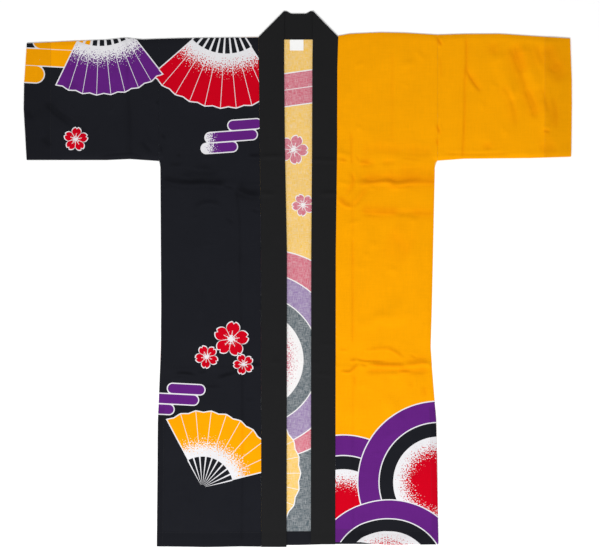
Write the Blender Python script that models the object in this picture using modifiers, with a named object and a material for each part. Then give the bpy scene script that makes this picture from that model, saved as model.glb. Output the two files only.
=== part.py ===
"""A long happi coat of cotton cloth, laid flat and open-fronted on a surface.

The coat lies in the XY plane with its neck towards +Y and its front up. The wearer's right side is
at -X. The origin is the middle of the coat's box, on the surface it rests on.

Body: back and both fronts are one sheet. It runs from the back hem up to the shoulders, turns over
them and runs down to the front hem. Each sleeve is a sheet that turns over its top edge in the same
way. The collar is one band that runs from hem to hem and is turned at each side of the neck.
"""

import math
from collections import namedtuple

import bmesh
import bpy
import numpy as np
from mathutils import Vector

# Driving sizes, in metres.
COAT_LENGTH = 1.150  # shoulder line to hem
COLLAR_WIDTH = 0.058  # finished width of the band, which is also its rise above the shoulders
CUFF_REACH = 0.6175  # middle of the coat to the fullest point of a cuff
SLEEVE_DEPTH = 0.2775  # shoulder line to the underarm seam
VENT_TOP = -0.290  # y at which the side seams end and the vents start

CLOTH = 0.0012  # one layer of cloth
BAND = 0.0020  # the collar band, which is cloth folded double
LAYER_GAP = 0.0004  # between two layers that lie on each other
SEAM_GAP = 0.0003  # between two pieces that are sewn together
AIR = 0.0006  # how much more the front floats where no seam or fold holds it down
EASE = 0.030  # distance from a seam or a fold over which the front rises to its full height
EDGE_EASE = 0.100  # stretch over which the rows of a panel bend to follow an uneven edge

SHOULDER_Y = (COAT_LENGTH - COLLAR_WIDTH) / 2
HEM_Y = SHOULDER_Y - COAT_LENGTH
NECK_TOP_Y = SHOULDER_Y + COLLAR_WIDTH
UNDERARM_Y = SHOULDER_Y - SLEEVE_DEPTH

TURN = (CLOTH + LAYER_GAP) / 2  # radius of the cloth's middle where it turns over an edge
TURN_STEPS = 6
BACK_Z = CLOTH / 2
FRONT_Z = CLOTH + LAYER_GAP + CLOTH / 2
BAND_BACK_Z = BAND / 2
BAND_NECK_Z = BAND + LAYER_GAP + BAND / 2
BAND_FRONT_Z = CLOTH + LAYER_GAP + BAND / 2

BAND_CLIMB = (0.490, 0.540)  # stretch in y over which a front strip climbs onto the neck strip
BAND_CREASE_SHARE = 1 / 3  # how much of a crease's height the stiffer band takes up

LABEL_SIZE = (0.0310, 0.0245, 0.0010)
LABEL_MIDDLE = (-0.0024, 0.5275)

# Linear base colours and roughness.
BLACK_PRINT = (0.012, 0.014, 0.018)
AMBER_PRINT = (0.91, 0.37, 0.0)
BLACK_CLOTH = (0.014, 0.013, 0.014)
WHITE_TAPE = (0.84, 0.84, 0.83)
COTTON_ROUGHNESS = 0.85
TAPE_ROUGHNESS = 0.7


def table(columns, *rows):
    """Rows of numbers with named columns, sorted by the first column."""
    Row = namedtuple("Row", columns)
    return [Row(*row) for row in rows]


def read(rows, column, at):
    """The column's value at a place along the table's first column, straight between rows."""
    places = [row[0] for row in rows]
    return float(np.interp(at, places, [getattr(row, column) for row in rows]))


# The coat's outline, in metres. Every edge is a little uneven, as cloth lies.
SHOULDER_EDGE = table(
    "x rise",
    (-0.611, -0.0145),
    (-0.500, -0.0090),
    (-0.430, -0.0065),
    (-0.390, -0.0020),
    (-0.350, -0.0060),
    (-0.312, -0.0045),
    (-0.235, -0.0025),
    (-0.090, -0.0010),
    (0.090, 0.0020),
    (0.118, 0.0070),
    (0.186, 0.0100),
    (0.240, 0.0090),
    (0.315, 0.0045),
    (0.378, 0.0065),
    (0.456, 0.0068),
    (0.524, 0.0023),
    (0.617, -0.0035),
)
UNDERARM_EDGE = table(
    "x rise",
    (-0.611, 0.0000),
    (-0.430, 0.0000),
    (-0.378, 0.0023),
    (-0.313, -0.0022),
    (0.315, -0.0015),
    (0.376, 0.0030),
    (0.524, 0.0045),
    (0.617, 0.0075),
)
CUFF_EDGE = table(
    "y left right",
    (0.268, 0.0065, 0.0015),
    (0.390, 0.0000, 0.0000),
    (0.450, 0.0008, 0.0005),
    (0.540, 0.0065, 0.0035),
)
SIDE_EDGE = table(
    "y left right",
    (-0.604, -0.3175, 0.3169),
    (-0.318, -0.3150, 0.3119),
    (-0.207, -0.3105, 0.3029),
    (-0.153, -0.3085, 0.2995),
    (-0.059, -0.3078, 0.3022),
    (0.262, -0.3096, 0.3090),
    (0.266, -0.3130, 0.3153),
    (0.546, -0.3130, 0.3153),
)
COLLAR_EDGE = table(
    "y left_seam left_free right_free right_seam",
    (-0.604, -0.0820, -0.0252, 0.0294, 0.0845),
    (0.060, -0.0829, -0.0243, 0.0303, 0.0856),
    (0.290, -0.0852, -0.0288, 0.0321, 0.0885),
    (0.470, -0.0874, -0.0306, 0.0328, 0.0890),
    (0.546, -0.0881, -0.0306, 0.0342, 0.0912),
)
FRONT_HEM = table(
    "x rise",
    (-0.3175, 0.0015),
    (-0.2070, 0.0000),
    (-0.1300, 0.0015),
    (-0.0850, 0.0010),
    (0.0860, 0.0115),
    (0.1410, 0.0115),
    (0.1650, 0.0080),
    (0.2080, 0.0050),
    (0.3170, 0.0060),
)
BACK_HEM = table(
    "x rise",
    (-0.3175, 0.0030),
    (0.0000, 0.0040),
    (0.0900, 0.0065),
    (0.3170, 0.0065),
)
COLLAR_HEM = {"left": 0.0005, "right": 0.0065}
NECK_SAG = 0.0057  # the strip behind the neck hangs this much below its two corners
NECK_SHARES = (0.08, 0.20, 0.40, 0.60, 0.80, 0.92)  # its rows, as shares of the way across

# The largest creases of the upper layer: its route in x and y, half its width, and its height.
CREASES = table(
    "route half_width height",
    # Across the right front, where the coat was folded for packing.
    (((0.134, 0.2144), (0.200, 0.2200), (0.240, 0.2150), (0.305, 0.2180)), 0.013, 0.0038),
    (((0.131, 0.1535), (0.231, 0.1535)), 0.013, 0.0022),
    (((0.096, 0.1720), (0.134, 0.2130)), 0.010, 0.0018),
    (((0.181, 0.2934), (0.303, 0.2798)), 0.020, 0.0024),
    (((0.130, -0.1800), (0.208, -0.1590), (0.238, -0.1830)), 0.012, 0.0022),
    (((0.122, -0.1872), (0.219, -0.1985), (0.298, -0.1894)), 0.013, 0.0032),
    # Across the left front.
    (((-0.300, 0.2279), (-0.243, 0.2133), (-0.164, 0.2167), (-0.130, 0.1918)), 0.013, 0.0036),
    (((-0.130, 0.1918), (-0.090, 0.1873)), 0.012, 0.0022),
    (((-0.300, -0.2142), (-0.209, -0.2120)), 0.013, 0.0026),
    (((-0.187, -0.2278), (-0.130, -0.2075), (-0.090, -0.1939)), 0.012, 0.0026),
    # Down each front, and across each sleeve: the other way of the packing.
    (((-0.135, 0.1896), (-0.128, 0.0300), (-0.128, -0.5700)), 0.009, 0.0016),
    (((0.1246, 0.2460), (0.1246, -0.5890)), 0.009, 0.0016),
    (((-0.381, 0.5400), (-0.381, 0.2720)), 0.012, 0.0024),
    (((0.377, 0.5480), (0.373, 0.2740)), 0.012, 0.0026),
    # Soft slanting folds on the left sleeve.
    (((0.425, 0.5200), (0.440, 0.4500), (0.466, 0.3800)), 0.030, 0.0036),
    (((0.510, 0.5050), (0.535, 0.4300), (0.570, 0.3550)), 0.026, 0.0034),
    # And one on the right sleeve.
    (((-0.470, 0.5050), (-0.520, 0.4200), (-0.540, 0.3400)), 0.030, 0.0026),
)


def lines(*stops):
    """Grid lines from stops of (place, step): even steps of about that size up to the next stop."""
    places = []
    for (start, step), (end, _) in zip(stops, stops[1:]):
        count = max(1, round(abs(end - start) / step))
        places += [start + (end - start) * index / count for index in range(count)]
    return places + [stops[-1][0]]


# Rows of the fronts and the band, at the same y so that their seams meet, and finest at the creases.
FRONT_ROWS = lines(
    (SHOULDER_Y, 0.012),
    (0.522, 0.052),
    (0.470, 0.060),
    (0.290, 0.012),
    (0.266, 0.004),
    (0.262, 0.012),
    (0.130, 0.035),
    (0.060, 0.060),
    (-0.059, 0.050),
    (-0.153, 0.012),
    (-0.240, 0.040),
    (-0.318, 0.070),
    (HEM_Y, 1),
)


def smooth(value):
    """0 to 1 with level ends."""
    value = min(max(value, 0.0), 1.0)
    return value * value * (3 - 2 * value)


def distance_to_route(x, y, route):
    """Distance from a point to a route of straight stretches."""
    point = Vector((x, y))
    nearest = math.inf
    for start, end in zip(route, route[1:]):
        start = Vector(start)
        stretch = Vector(end) - start
        share = (point - start).dot(stretch) / stretch.length_squared
        share = min(max(share, 0.0), 1.0)
        nearest = min(nearest, (point - start - share * stretch).length)
    return nearest


def crease_height(x, y):
    """Height of the creases at a point, each a rounded ridge."""
    height = 0.0
    for crease in CREASES:
        distance = distance_to_route(x, y, crease.route)
        if distance < crease.half_width:
            ridge = crease.height * (1 + math.cos(math.pi * distance / crease.half_width)) / 2
            height = max(height, ridge)
    return height


def shoulder_y(x):
    """The coat's upper edge, along the shoulders and the tops of the sleeves."""
    return SHOULDER_Y + read(SHOULDER_EDGE, "rise", x)


def underarm_y(x):
    """The sleeves' lower edge."""
    return UNDERARM_Y + read(UNDERARM_EDGE, "rise", x)


def side_of(x):
    return "left" if x < 0 else "right"


def seam_distance(x, y):
    """Distance from a point of the upper layer to the nearest place that holds it to the lower one."""
    to_fold = shoulder_y(x) - y
    side = abs(read(SIDE_EDGE, side_of(x), min(y, UNDERARM_Y - EASE)))
    if abs(x) > side:
        to_seam = y - underarm_y(x)
    elif y > UNDERARM_Y:
        to_seam = math.hypot(side - abs(x), y - UNDERARM_Y)
    else:
        to_seam = side - abs(x) + max(0.0, VENT_TOP - y)
    return max(0.0, min(to_fold, to_seam))


def lift(x, y):
    """How far the upper layer lies above the place where it would touch the lower one."""
    return smooth(seam_distance(x, y) / EASE) * (AIR + crease_height(x, y))


def neck_sag(share):
    """How far the neck seam and the strip above it hang down, at a share of the way across."""
    return NECK_SAG * smooth(share / 0.25) * smooth((1 - share) / 0.25)


def body_x(column, y):
    """Columns run from -2 at the left side to -1 and 1 at the collar's seams and 2 at the right side."""
    edges = (
        read(SIDE_EDGE, "left", y),
        read(COLLAR_EDGE, "left_seam", y) - SEAM_GAP,
        read(COLLAR_EDGE, "right_seam", y) + SEAM_GAP,
        read(SIDE_EDGE, "right", y),
    )
    return float(np.interp(column, (-2, -1, 1, 2), edges))


def turned_over(x, angle):
    """A point where the cloth turns over its upper edge, from -90 degrees below to 90 above."""
    y = shoulder_y(x) - CLOTH / 2 - TURN + TURN * math.cos(angle)
    return (x, y, BACK_Z + TURN + TURN * math.sin(angle))


def turn_angles():
    """The angles between the flat layers, which the layers' own last rows close."""
    return [math.pi * (step / TURN_STEPS - 0.5) for step in range(1, TURN_STEPS)]


def near_edge(y, edge_y):
    """1 at an edge, falling to 0 further in."""
    return max(0.0, 1 - abs(y - edge_y) / EDGE_EASE)


def body_point(column, row):
    """The middle of the body's cloth. A row is a layer with its y, or the turn with its angle."""
    layer, value = row
    if layer == "turn":
        return turned_over(body_x(column, SHOULDER_Y), value)
    x = body_x(column, value)
    hem = FRONT_HEM if layer == "front" else BACK_HEM
    y = value + near_edge(value, HEM_Y) * read(hem, "rise", x)
    fold_shift = read(SHOULDER_EDGE, "rise", x) - CLOTH / 2 - TURN
    if abs(column) < 1 and value == SHOULDER_Y:
        fold_shift = -SEAM_GAP - neck_sag((column + 1) / 2)
    y += near_edge(value, SHOULDER_Y) * fold_shift
    return (x, y, FRONT_Z + lift(x, y) if layer == "front" else BACK_Z)


def sleeve_point(side, column, row):
    """The middle of a sleeve's cloth. Columns run from 0 at the armhole to 1 at the cuff."""
    layer, value = row
    share = 1.0 if layer == "turn" else value
    armhole = abs(read(SIDE_EDGE, side, SHOULDER_Y)) + SEAM_GAP
    cuff = CUFF_REACH - read(CUFF_EDGE, side, UNDERARM_Y + share * SLEEVE_DEPTH)
    x = armhole + (cuff - armhole) * column
    if side == "left":
        x = -x
    if layer == "turn":
        return turned_over(x, value)
    low = underarm_y(x)
    high = shoulder_y(x) - CLOTH / 2 - TURN
    y = low + (high - low) * share
    return (x, y, FRONT_Z + lift(x, y) if layer == "front" else BACK_Z)


def band_z(y):
    """Height of the band's middle on the fronts: it lies on the back, and on itself at the neck."""
    start, end = BAND_CLIMB
    on_itself = smooth((y - start) / (end - start))
    return BAND_FRONT_Z + on_itself * (BAND_NECK_Z - BAND_FRONT_Z)


def band_front_rows(side):
    """Rows across the band from the hem up to the turn at the neck, which they fan round to meet."""
    rows = []
    for y in reversed(FRONT_ROWS):
        if y > COLLAR_EDGE[-2].y:
            continue
        shift = near_edge(y, HEM_Y) * COLLAR_HEM[side]
        seam = (read(COLLAR_EDGE, side + "_seam", y), y + shift)
        free = (read(COLLAR_EDGE, side + "_free", y), y + shift)
        rows.append((seam, free))
    last_seam, last_free = rows[-1]
    turn_seam, turn_free, _ = band_turn_rows(side)[0]
    for share in (0.25, 0.5, 0.75):
        seam = Vector(last_seam).lerp(Vector(turn_seam), share)
        free = Vector(last_free).lerp(Vector(turn_free), share)
        rows.append((tuple(seam), tuple(free)))
    return [(seam, free, band_z(seam[1]), band_z(free[1])) for seam, free in rows]


def neck_corner(side):
    """The ends of the band's slanting turn: at its seam edge and at its free edge."""
    corner = Vector((read(COLLAR_EDGE, side + "_seam", SHOULDER_Y), SHOULDER_Y))
    tip = Vector((read(COLLAR_EDGE, side + "_free", SHOULDER_Y), NECK_TOP_Y))
    return corner, tip


def band_turn_rows(side):
    """Rows round the slanting turn, from the front strip down to the strip behind the neck."""
    corner, tip = neck_corner(side)
    along = (tip - corner).normalized()
    inward = Vector((along.y, -along.x)) if side == "left" else Vector((-along.y, along.x))
    radius = (BAND_NECK_Z - BAND_BACK_Z) / 2
    rows = []
    for step in range(TURN_STEPS + 1):
        angle = math.pi * (0.5 - step / TURN_STEPS)
        depth = BAND / 2 + radius * (1 - math.cos(angle))
        slide_behind = -depth * inward.y / along.y
        slide_before = -depth * inward.x / along.x
        # The seam edge stays behind the neck seam until it is clear above the back.
        seam_slide = slide_behind + (slide_before - slide_behind) * max(0.0, math.sin(angle))
        free_slide = slide_behind + (slide_before - slide_behind) * (1 + math.sin(angle)) / 2
        seam = corner + depth * inward + seam_slide * along
        free = tip + depth * inward + free_slide * along
        height = BAND_BACK_Z + radius + radius * math.sin(angle)
        rows.append((tuple(seam), tuple(free), height))
    return rows


def band_rows():
    """All rows across the band, from hem to hem: (seam edge, free edge, height at each)."""
    sides = {}
    for side in ("left", "right"):
        turn = [(seam, free, z, z) for seam, free, z in band_turn_rows(side)]
        sides[side] = band_front_rows(side) + turn
    left_end, right_end = sides["left"][-1], sides["right"][-1]
    rows = list(sides["left"])
    for share in NECK_SHARES:
        sag = Vector((0, neck_sag(share)))
        seam = Vector(left_end[0]).lerp(Vector(right_end[0]), share) - sag
        free = Vector(left_end[1]).lerp(Vector(right_end[1]), share) - sag
        rows.append((tuple(seam), tuple(free), BAND_BACK_Z, BAND_BACK_Z))
    return rows + sides["right"][::-1]


def make_material(name, colour, roughness):
    material = bpy.data.materials.new(name)
    material.use_nodes = True
    shader = material.node_tree.nodes["Principled BSDF"]
    shader.inputs["Base Color"].default_value = (*colour, 1)
    shader.inputs["Roughness"].default_value = roughness
    shader.inputs["Metallic"].default_value = 0.0
    material.diffuse_color = (*colour, 1)
    return material


def make_sheet(name, columns, rows, point, thickness, collection, keep=None):
    """A grid laid out by point(column, row), given its thickness evenly to both sides."""
    width, height = len(columns) - 1, len(rows) - 1
    grid = bmesh.new()
    bmesh.ops.create_grid(grid, x_segments=width, y_segments=height, size=0.5)
    places = {}
    for vertex in grid.verts:
        places[vertex] = (round((vertex.co.x + 0.5) * width), round((vertex.co.y + 0.5) * height))
    if keep:
        cut = []
        for face in grid.faces:
            cells = [places[vertex] for vertex in face.verts]
            column = sum(columns[i] for i, _ in cells) / len(cells)
            if not keep(column, rows[min(j for _, j in cells)][0], rows[max(j for _, j in cells)][0]):
                cut.append(face)
        bmesh.ops.delete(grid, geom=cut, context="FACES")
    for vertex in grid.verts:
        i, j = places[vertex]
        vertex.co = point(columns[i], rows[j])
    mesh = bpy.data.meshes.new(name)
    grid.to_mesh(mesh)
    grid.free()
    sheet = bpy.data.objects.new(name, mesh)
    collection.objects.link(sheet)
    wall = sheet.modifiers.new("Cloth", "SOLIDIFY")
    wall.thickness = thickness
    wall.offset = 0.0
    wall.use_even_offset = True
    keep_walls(sheet)
    return sheet


def keep_walls(sheet):
    """Make the sheet's thickness part of its mesh, smooth but for its cut edges."""
    graph = bpy.context.evaluated_depsgraph_get()
    flat = sheet.data
    sheet.data = bpy.data.meshes.new_from_object(sheet.evaluated_get(graph))
    sheet.modifiers.clear()
    bpy.data.meshes.remove(flat)
    sheet.data.name = sheet.name
    sheet.data.shade_smooth()
    sheet.data.set_sharp_from_angle(angle=math.radians(40))


def body_rows():
    """Back from hem to shoulder, the turn, and front from shoulder to hem."""
    back = [row.y for row in SIDE_EDGE[1:-1]]
    rows = [("back", y) for y in (HEM_Y, *back, SHOULDER_Y - EDGE_EASE, SHOULDER_Y)]
    rows += [("turn", angle) for angle in turn_angles()]
    return rows + [("front", y) for y in FRONT_ROWS]


def body_columns():
    """Finest beside the side seams and at the crease down each front, and beside the neck's cut."""
    front = lines((0.0, 0.03), (0.06, 0.09), (0.78, 0.025), (0.88, 0.06), (1.0, 1))
    left = [share - 2 for share in front]
    neck = [-0.98] + [2 * share - 1 for share in NECK_SHARES] + [0.98]
    right = [2 - share for share in reversed(front)]
    return left + neck + right


def make_body(collection):
    """The front stands open: between the collar's seams there is cloth only in the back."""

    def keep(column, first_layer, last_layer):
        return abs(column) > 1 or (first_layer == "back" and last_layer == "back")

    body = make_sheet("body", body_columns(), body_rows(), body_point, CLOTH, collection, keep)
    black = make_material("printed cotton, black side", BLACK_PRINT, COTTON_ROUGHNESS)
    amber = make_material("printed cotton, amber side", AMBER_PRINT, COTTON_ROUGHNESS)
    body.data.materials.append(black)
    body.data.materials.append(amber)
    for face in body.data.polygons:
        face.material_index = int(face.center.x > 0)
    return body


def make_sleeve(side, name, collection):
    """A sleeve on the left or right of the coat as it lies, so the wearer's other side."""
    columns = lines((0.0, 0.03), (0.03, 0.075), (0.15, 0.04), (0.27, 0.075), (1.0, 1))
    if side == "left":
        columns = columns[::-1]
    layer = lines((0.0, 0.045), (0.09, 0.075), (0.91, 0.045), (1.0, 1))
    rows = [("back", share) for share in (0.0, 0.5, 1.0)]
    rows += [("turn", angle) for angle in turn_angles()]
    rows += [("front", share) for share in reversed(layer)]

    def point(column, row):
        return sleeve_point(side, column, row)

    sleeve = make_sheet(name, columns, rows, point, CLOTH, collection)
    colour = BLACK_PRINT if side == "left" else AMBER_PRINT
    sleeve.data.materials.append(make_material("printed cotton, " + name, colour, COTTON_ROUGHNESS))
    return sleeve


def make_collar(collection):
    rows = band_rows()

    def point(share, row):
        seam, free, seam_z, free_z = row
        start, end = Vector((*seam, seam_z)), Vector((*free, free_z))
        place = start.lerp(end, share)
        if place.y < SHOULDER_Y - EASE:
            place.z += AIR / 2 + BAND_CREASE_SHARE * crease_height(place.x, place.y)
        return place

    collar = make_sheet("collar", [0.0, 0.5, 1.0], rows, point, BAND, collection)
    collar.data.materials.append(make_material("plain black cotton", BLACK_CLOTH, COTTON_ROUGHNESS))
    return collar


def make_label(collection):
    """A small blank label, sewn to the inside of the back just below the collar."""
    label_mesh = bmesh.new()
    bmesh.ops.create_cube(label_mesh, size=1.0)
    bmesh.ops.scale(label_mesh, vec=LABEL_SIZE, verts=label_mesh.verts)
    mesh = bpy.data.meshes.new("label")
    label_mesh.to_mesh(mesh)
    label_mesh.free()
    label = bpy.data.objects.new("label", mesh)
    label.location = (*LABEL_MIDDLE, CLOTH + SEAM_GAP + LABEL_SIZE[2] / 2)
    label.data.materials.append(make_material("white woven tape", WHITE_TAPE, TAPE_ROUGHNESS))
    collection.objects.link(label)
    return label


def main():
    for thing in list(bpy.data.objects):
        bpy.data.objects.remove(thing)
    collection = bpy.data.collections.new("happi coat")
    bpy.context.scene.collection.children.link(collection)
    make_body(collection)
    make_sleeve("left", "sleeve_right", collection)
    make_sleeve("right", "sleeve_left", collection)
    make_collar(collection)
    make_label(collection)


main()
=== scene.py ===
# A long happi coat of printed cotton, laid flat and open-fronted on a pale floor.
# The coat's neck points to +Y and its front faces up. The wearer's right side is at -X.

import math
import random
from collections import namedtuple
from functools import partial

import bmesh
import bpy
import numpy as np
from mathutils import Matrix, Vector, noise


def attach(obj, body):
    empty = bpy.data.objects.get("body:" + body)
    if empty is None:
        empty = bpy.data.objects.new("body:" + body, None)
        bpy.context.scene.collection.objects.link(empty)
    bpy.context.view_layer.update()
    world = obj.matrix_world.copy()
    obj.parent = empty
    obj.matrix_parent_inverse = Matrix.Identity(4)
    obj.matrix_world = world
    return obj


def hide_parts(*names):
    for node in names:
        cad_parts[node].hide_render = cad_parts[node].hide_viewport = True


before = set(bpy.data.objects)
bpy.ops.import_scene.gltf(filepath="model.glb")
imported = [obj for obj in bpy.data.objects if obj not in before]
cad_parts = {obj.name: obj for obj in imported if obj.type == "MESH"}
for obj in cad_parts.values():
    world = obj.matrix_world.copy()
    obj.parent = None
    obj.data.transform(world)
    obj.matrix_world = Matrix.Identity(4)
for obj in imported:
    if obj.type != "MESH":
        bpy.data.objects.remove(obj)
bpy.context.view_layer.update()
print("frame loaded")


# Small helpers

def linear(hexCode):
    # sRGB hex to the linear values that Blender mixes
    channels = [int(hexCode[i:i + 2], 16) / 255 for i in (1, 3, 5)]
    return tuple(c / 12.92 if c <= 0.04045 else ((c + 0.055) / 1.055) ** 2.4 for c in channels) + (1.0,)


def addNode(tree, kind, *values, named=None, **settings):
    # kind is the node's type, with its operation or data type after it. values fill its sockets in
    # order and named ones by name, each from a socket, a node (its first output) or a constant
    kind, _, choice = kind.partition(" ")
    fullName = kind.startswith(("GeometryNode", "FunctionNode", "NodeGroup"))
    node = tree.nodes.new(kind if fullName else "ShaderNode" + kind)
    if choice:
        settings["operation" if hasattr(node, "operation") else "data_type"] = choice
    for name, value in settings.items():
        setattr(node, name, value)
    sockets = [socket for socket in node.inputs if socket.enabled]
    assert len(values) <= len(sockets), kind + " has too few sockets"
    pairs = list(zip(sockets, values))
    pairs += [(node.inputs[name], value) for name, value in (named or {}).items()]
    for socket, value in pairs:
        if isinstance(value, bpy.types.Node):
            value = next(output for output in value.outputs if output.enabled)
        if isinstance(value, bpy.types.NodeSocket):
            tree.links.new(value, socket)
        elif value is not None:
            socket.default_value = value
    return node


def addGroup(name, kind, inputs, outputs):
    # a node group with its sockets' names and types, and a short way to add nodes to it
    group = bpy.data.node_groups.new(name, kind)
    for way, sockets in (("INPUT", inputs), ("OUTPUT", outputs)):
        for label, socketType in sockets.items():
            group.interface.new_socket(name=label, in_out=way, socket_type="NodeSocket" + socketType)
    add = partial(addNode, group)
    return group, add, add("NodeGroupInput").outputs


def addObject(name, data):
    item = bpy.data.objects.new(name, data)
    bpy.context.scene.collection.objects.link(item)
    return item


def applyModifiers(piece):
    # what the modifiers make of the piece becomes its own plain mesh
    graph = bpy.context.evaluated_depsgraph_get()
    before = piece.data
    after = bpy.data.meshes.new_from_object(piece.evaluated_get(graph))
    piece.modifiers.clear()
    piece.data = after
    bpy.data.meshes.remove(before)
    after.name = piece.name
    after.shade_smooth()


def table(columns, *rows):
    Row = namedtuple("Row", columns)
    return [Row(*row) for row in rows]


def readAt(rows, column, at):
    # straight between the rows, along the table's first column
    return np.interp(at, [row[0] for row in rows], [getattr(row, column) for row in rows])


def smooth(value):
    value = np.clip(value, 0.0, 1.0)
    return value * value * (3 - 2 * value)


def steps(start, end, size, *close):
    # places about size apart, and closer together within each (low, high, size) stretch
    places = [start]
    while True:
        here = places[-1]
        stride = next((fine for low, high, fine in close if low <= here <= high), size)
        if abs(end - here) < 1.5 * stride:
            return np.array(places + [end])
        places.append(here + math.copysign(stride, end - start))


def wander(x, y, size, seed):
    # soft random relief from -1 to 1, with swells about that size
    flatX, flatY = np.ravel(x), np.ravel(y)
    values = [noise.noise(Vector((a / size, b / size, seed))) for a, b in zip(flatX, flatY)]
    return np.reshape(values, np.shape(x))


# The coat's cut, the same as its solids

cut = {
    "coatLength": 1.150,
    "collarWidth": 0.058,
    "cuffReach": 0.6175,
    "sleeveDepth": 0.2775,
    "ventTop": -0.290,
    "hemWidth": 0.032,
    "cuffHem": 0.0605,
    "ventHem": 0.013,
    "seamGap": 0.0003,
    "neckSag": 0.0057,  # the strip behind the neck hangs this much below its two corners
    "neckSagEase": 0.25,  # and comes down to that over this share of the strip from each of them
}
shoulderLine = (cut["coatLength"] - cut["collarWidth"]) / 2
hemLine = shoulderLine - cut["coatLength"]
neckTop = shoulderLine + cut["collarWidth"]
underarmLine = shoulderLine - cut["sleeveDepth"]

# heights of the middle of each layer
layers = {
    "cloth": 0.0009,
    "band": 0.0018,
    "back": 0.00045,
    "front": 0.0022,
    "bandBack": 0.0010,
    "bandFront": 0.0026,
    "bandNeck": 0.0034,
}
turnRadius = (layers["front"] - layers["back"]) / 2

shoulderEdge = table(
    "x rise",
    (-0.611, -0.0145),
    (-0.500, -0.0090),
    (-0.430, -0.0065),
    (-0.390, -0.0020),
    (-0.350, -0.0060),
    (-0.312, -0.0045),
    (-0.235, -0.0025),
    (-0.090, -0.0010),
    (0.090, 0.0020),
    (0.118, 0.0070),
    (0.186, 0.0100),
    (0.240, 0.0090),
    (0.315, 0.0045),
    (0.378, 0.0065),
    (0.456, 0.0068),
    (0.524, 0.0023),
    (0.617, -0.0035),
)
underarmEdge = table(
    "x rise",
    (-0.611, 0.0000),
    (-0.430, 0.0000),
    (-0.378, 0.0023),
    (-0.313, -0.0022),
    (0.315, -0.0015),
    (0.376, 0.0030),
    (0.524, 0.0045),
    (0.617, 0.0075),
)
cuffEdge = table(
    "y left right",
    (0.268, 0.0065, 0.0015),
    (0.390, 0.0000, 0.0000),
    (0.450, 0.0008, 0.0005),
    (0.540, 0.0065, 0.0035),
)
sideEdge = table(
    "y left right",
    (-0.604, -0.3175, 0.3169),
    (-0.318, -0.3150, 0.3119),
    (-0.207, -0.3105, 0.3029),
    (-0.153, -0.3085, 0.2995),
    (-0.059, -0.3078, 0.3022),
    (0.262, -0.3096, 0.3090),
    (0.266, -0.3130, 0.3153),
    (0.546, -0.3130, 0.3153),
)
collarEdge = table(
    "y leftSeam leftFree rightFree rightSeam",
    (-0.604, -0.0820, -0.0252, 0.0294, 0.0845),
    (0.060, -0.0829, -0.0243, 0.0303, 0.0856),
    (0.290, -0.0852, -0.0288, 0.0321, 0.0885),
    (0.470, -0.0874, -0.0306, 0.0328, 0.0890),
    (0.546, -0.0881, -0.0306, 0.0342, 0.0912),
)
frontHem = table(
    "x rise",
    (-0.3175, 0.0015),
    (-0.2070, 0.0000),
    (-0.1300, 0.0015),
    (-0.0850, 0.0010),
    (0.0860, 0.0115),
    (0.1410, 0.0115),
    (0.1650, 0.0080),
    (0.2080, 0.0050),
    (0.3170, 0.0060),
)
backHem = table(
    "x rise",
    (-0.3175, 0.0030),
    (0.0000, 0.0040),
    (0.0900, 0.0065),
    (0.3170, 0.0065),
)
collarHem = {"left": 0.0005, "right": 0.0065}
edgeEase = 0.100


def shoulderY(x):
    return shoulderLine + readAt(shoulderEdge, "rise", x)


def underarmY(x):
    return underarmLine + readAt(underarmEdge, "rise", x)


# Creases placed one by one, in metres. A roll is a soft swell, or a hollow where its height is below
# zero. The others are pressed, and are gentle on the left of their route and steep on its right: a
# fold is a thin groove, a lap a wider one, and a ridge stands up.

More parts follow.
